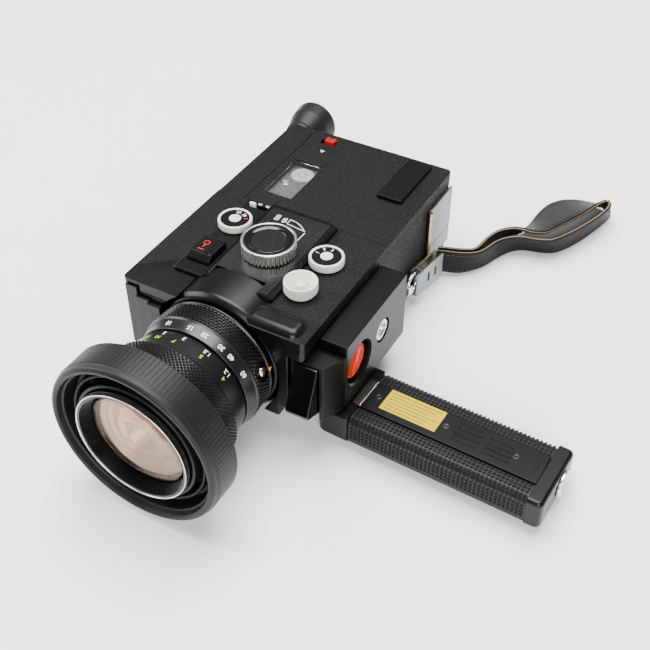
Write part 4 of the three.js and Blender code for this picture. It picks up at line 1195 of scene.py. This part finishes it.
GRID_TREE, grid_in, grid_out = tile_tree("grid_of_tiles", [
    ("Tile", "Object"), ("Columns", "Int"), ("Rows", "Int"), ("Length", "Float"), ("Width", "Float"),
    ("Finish", "Material"),
])
tree = GRID_TREE
spots = add_node(tree, "GeometryNodeMeshGrid", links={
    "Size X": grid_in.outputs["Length"], "Size Y": grid_in.outputs["Width"],
    "Vertices X": grid_in.outputs["Columns"], "Vertices Y": grid_in.outputs["Rows"]})
tile = add_node(tree, "GeometryNodeObjectInfo", links={"Object": grid_in.outputs["Tile"]})
copies = add_node(tree, "GeometryNodeInstanceOnPoints", links={
    "Points": spots.outputs[0], "Instance": tile.outputs["Geometry"]})
real = add_node(tree, "GeometryNodeRealizeInstances", links={"Geometry": copies.outputs[0]})
finish = add_node(tree, "GeometryNodeSetMaterial",
                  links={"Geometry": real.outputs[0], "Material": grid_in.outputs["Finish"]})
tree.links.new(finish.outputs[0], grid_out.inputs[0])

# The grid is laid flat, then folded over the rounded corner and down the side of the shell.
PITCH = 2.15
flat_run = HALF_GRIP - CORNER - 9.7
corner_run = math.pi / 2 * (CORNER - SUNK / 2)
side_run = GRIP_HIGH - CORNER - GRIP_LOW - 1.6
rows = math.floor((flat_run + corner_run + side_run) / PITCH)
columns = round(93 / PITCH)
pattern = bpy.data.objects.new("tile", pyramid(1.95, 1.95, SUNK, 0.3))
bpy.context.scene.collection.objects.link(pattern)
flat_grid = grown(GRID_TREE, bpy.data.meshes.new("start"), {
    "Tile": pattern, "Columns": columns, "Rows": rows, "Length": (columns - 1) * PITCH,
    "Width": (rows - 1) * PITCH,
    "Finish": RUBBER,
})
bpy.data.objects.remove(pattern)
for vertex in flat_grid.vertices:
    run = vertex.co.y + (rows - 1) * PITCH / 2 + PITCH / 2
    height = vertex.co.z
    if run < flat_run:
        y, z = 9.7 + run, GRIP_HIGH - SUNK + height
    elif run < flat_run + corner_run:
        turn = (run - flat_run) / (CORNER - SUNK / 2)
        reach = CORNER - SUNK + height
        y = HALF_GRIP - CORNER + reach * math.sin(turn)
        z = GRIP_HIGH - CORNER + reach * math.cos(turn)
    else:
        y = HALF_GRIP - SUNK + height
        z = GRIP_HIGH - CORNER - (run - flat_run - corner_run)
    vertex.co = (170 + vertex.co.x, y, z)
front_grid = flat_grid.copy()
front_grid.transform(Matrix.Scale(-1, 4, (0, 1, 0)))
front_grid.flip_normals()
put("knurl_rear", flat_grid, RUBBER, "grip", crease=20, axes=GRIP_AXES)
put("knurl_front", front_grid, RUBBER, "grip", crease=20, axes=GRIP_AXES)

strip = block((123.2, 216.8, -9.5, 9.5, -49, -46.7), (lambda m, r: m.z > -47, 0.3, 2))
put("grip_panel", strip, SATIN_BLACK, "grip", ["grip_strip"], axes=GRIP_AXES)
cap = block((217.3, 225, -HALF_GRIP, HALF_GRIP, GRIP_LOW, GRIP_HIGH),
            (lambda m, r: upright(m, r) and m.x > 224, 3.2, 6),
            (lambda m, r: not upright(m, r) and m.x > 218, 2.2, 5))
put("grip_end", cap, ENAMEL, "grip", ["grip_end_cap"], axes=GRIP_AXES)
coin = arced([(225.3, 0), (225.3, 7), (226.6, 7, 0.4), (226.6, 5.8), (226.2, 5.6), (226.2, 0)], 0.2, 3)
coin = carved(turned(coin, "X", (5, -56.2), 64), block((226.0, 228, -1, 11, -57, -55.4)))
put("coin_cap", coin, NICKEL, "battery_cap", ["battery_cap"], axes=GRIP_AXES)
BRONZE = hazed("bronze-toned nickel plate", "#7d766c", 3, 0.16, 0.3, Metallic=1.0)
lock = block((119.4, 123.8, -9.6, 9.6, -47.1, -46.7), (upright, 0.6, 3))
put("lock_plate", lock, BRONZE, "grip", ["grip_latch_plate"], axes=GRIP_AXES)
put("lock_edge", block((123.2, 123.8, -9.6, 9.6, -46.85, -46.55), (lambda m, r: m.z > -46.6, 0.1, 2)), NICKEL,
    "grip",
    axes=GRIP_AXES)

# Grip details: a blank yellow label with ruled lines, three cross-head screws and two cell outlines in relief.
# The label is glossy paper 0.1 mm thick.
YELLOW_PAPER = hazed("yellow label paper, varnished", "#c4a600", 5, 0.4, 0.55, Specular_IOR_Level=0.15)
put("blank_label", block((132.3, 162.8, -5.8, 8.7, -46.72, -46.6)), YELLOW_PAPER, "grip",
    axes=GRIP_AXES)
ruled = []
for row in range(6):
    x = 134.4
    while x < 160.5 - 3 * (row % 3):
        dash = 1.2 + 0.9 * ((row * 7 + round(x * 3)) % 4)
        ruled.append([(x, 6.8 - row * 2.2), (min(x + dash, 161), 6.8 - row * 2.2)])
        x += dash + 0.7
put("label_rules", printed_lines(ruled, 0.45, -46.61), BLACK_INK, "grip", axes=GRIP_AXES)
for number, (x, y) in enumerate(((128.8, 0.8), (166.1, 0.8), (202.8, 0.7))):
    head = turned(arced([(-47.5, 0), (-47.5, 1.7), (-46.6, 1.7, 0.2), (-46.52, 1.2), (-46.6, 0.8),
                         (-46.6, 0)], 0.1, 3),
                  "Z", (x, y), 40)
    cross = [block((x - a, x + a, y - b, y + b, -46.9, -46)) for a, b in ((0.9, 0.2), (0.2, 0.9))]
    put(f"screw_{number + 1}", carved(head, *cross), BLACK_ANODISED, "grip", axes=GRIP_AXES)
outlines = []
for x0, x1, y0, y1 in ((171.5, 184, -5, 7), (187.5, 200.4, -5, 5)):
    for share in (0, 0.36, 0.68):
        y = y0 + (y1 - y0) * share
        tall = (y1 - y0) * 0.27
        outlines.append([(x0, y), (x1, y), (x1, y + tall), (x0, y + tall), (x0, y)])
relief = printed_lines(outlines, 0.5, -46.72)
for vertex in relief.vertices:
    if vertex.co.z > -46.71:
        vertex.co.z = -46.5
put("cell_outlines", relief, SATIN_BLACK, "grip", axes=GRIP_AXES)
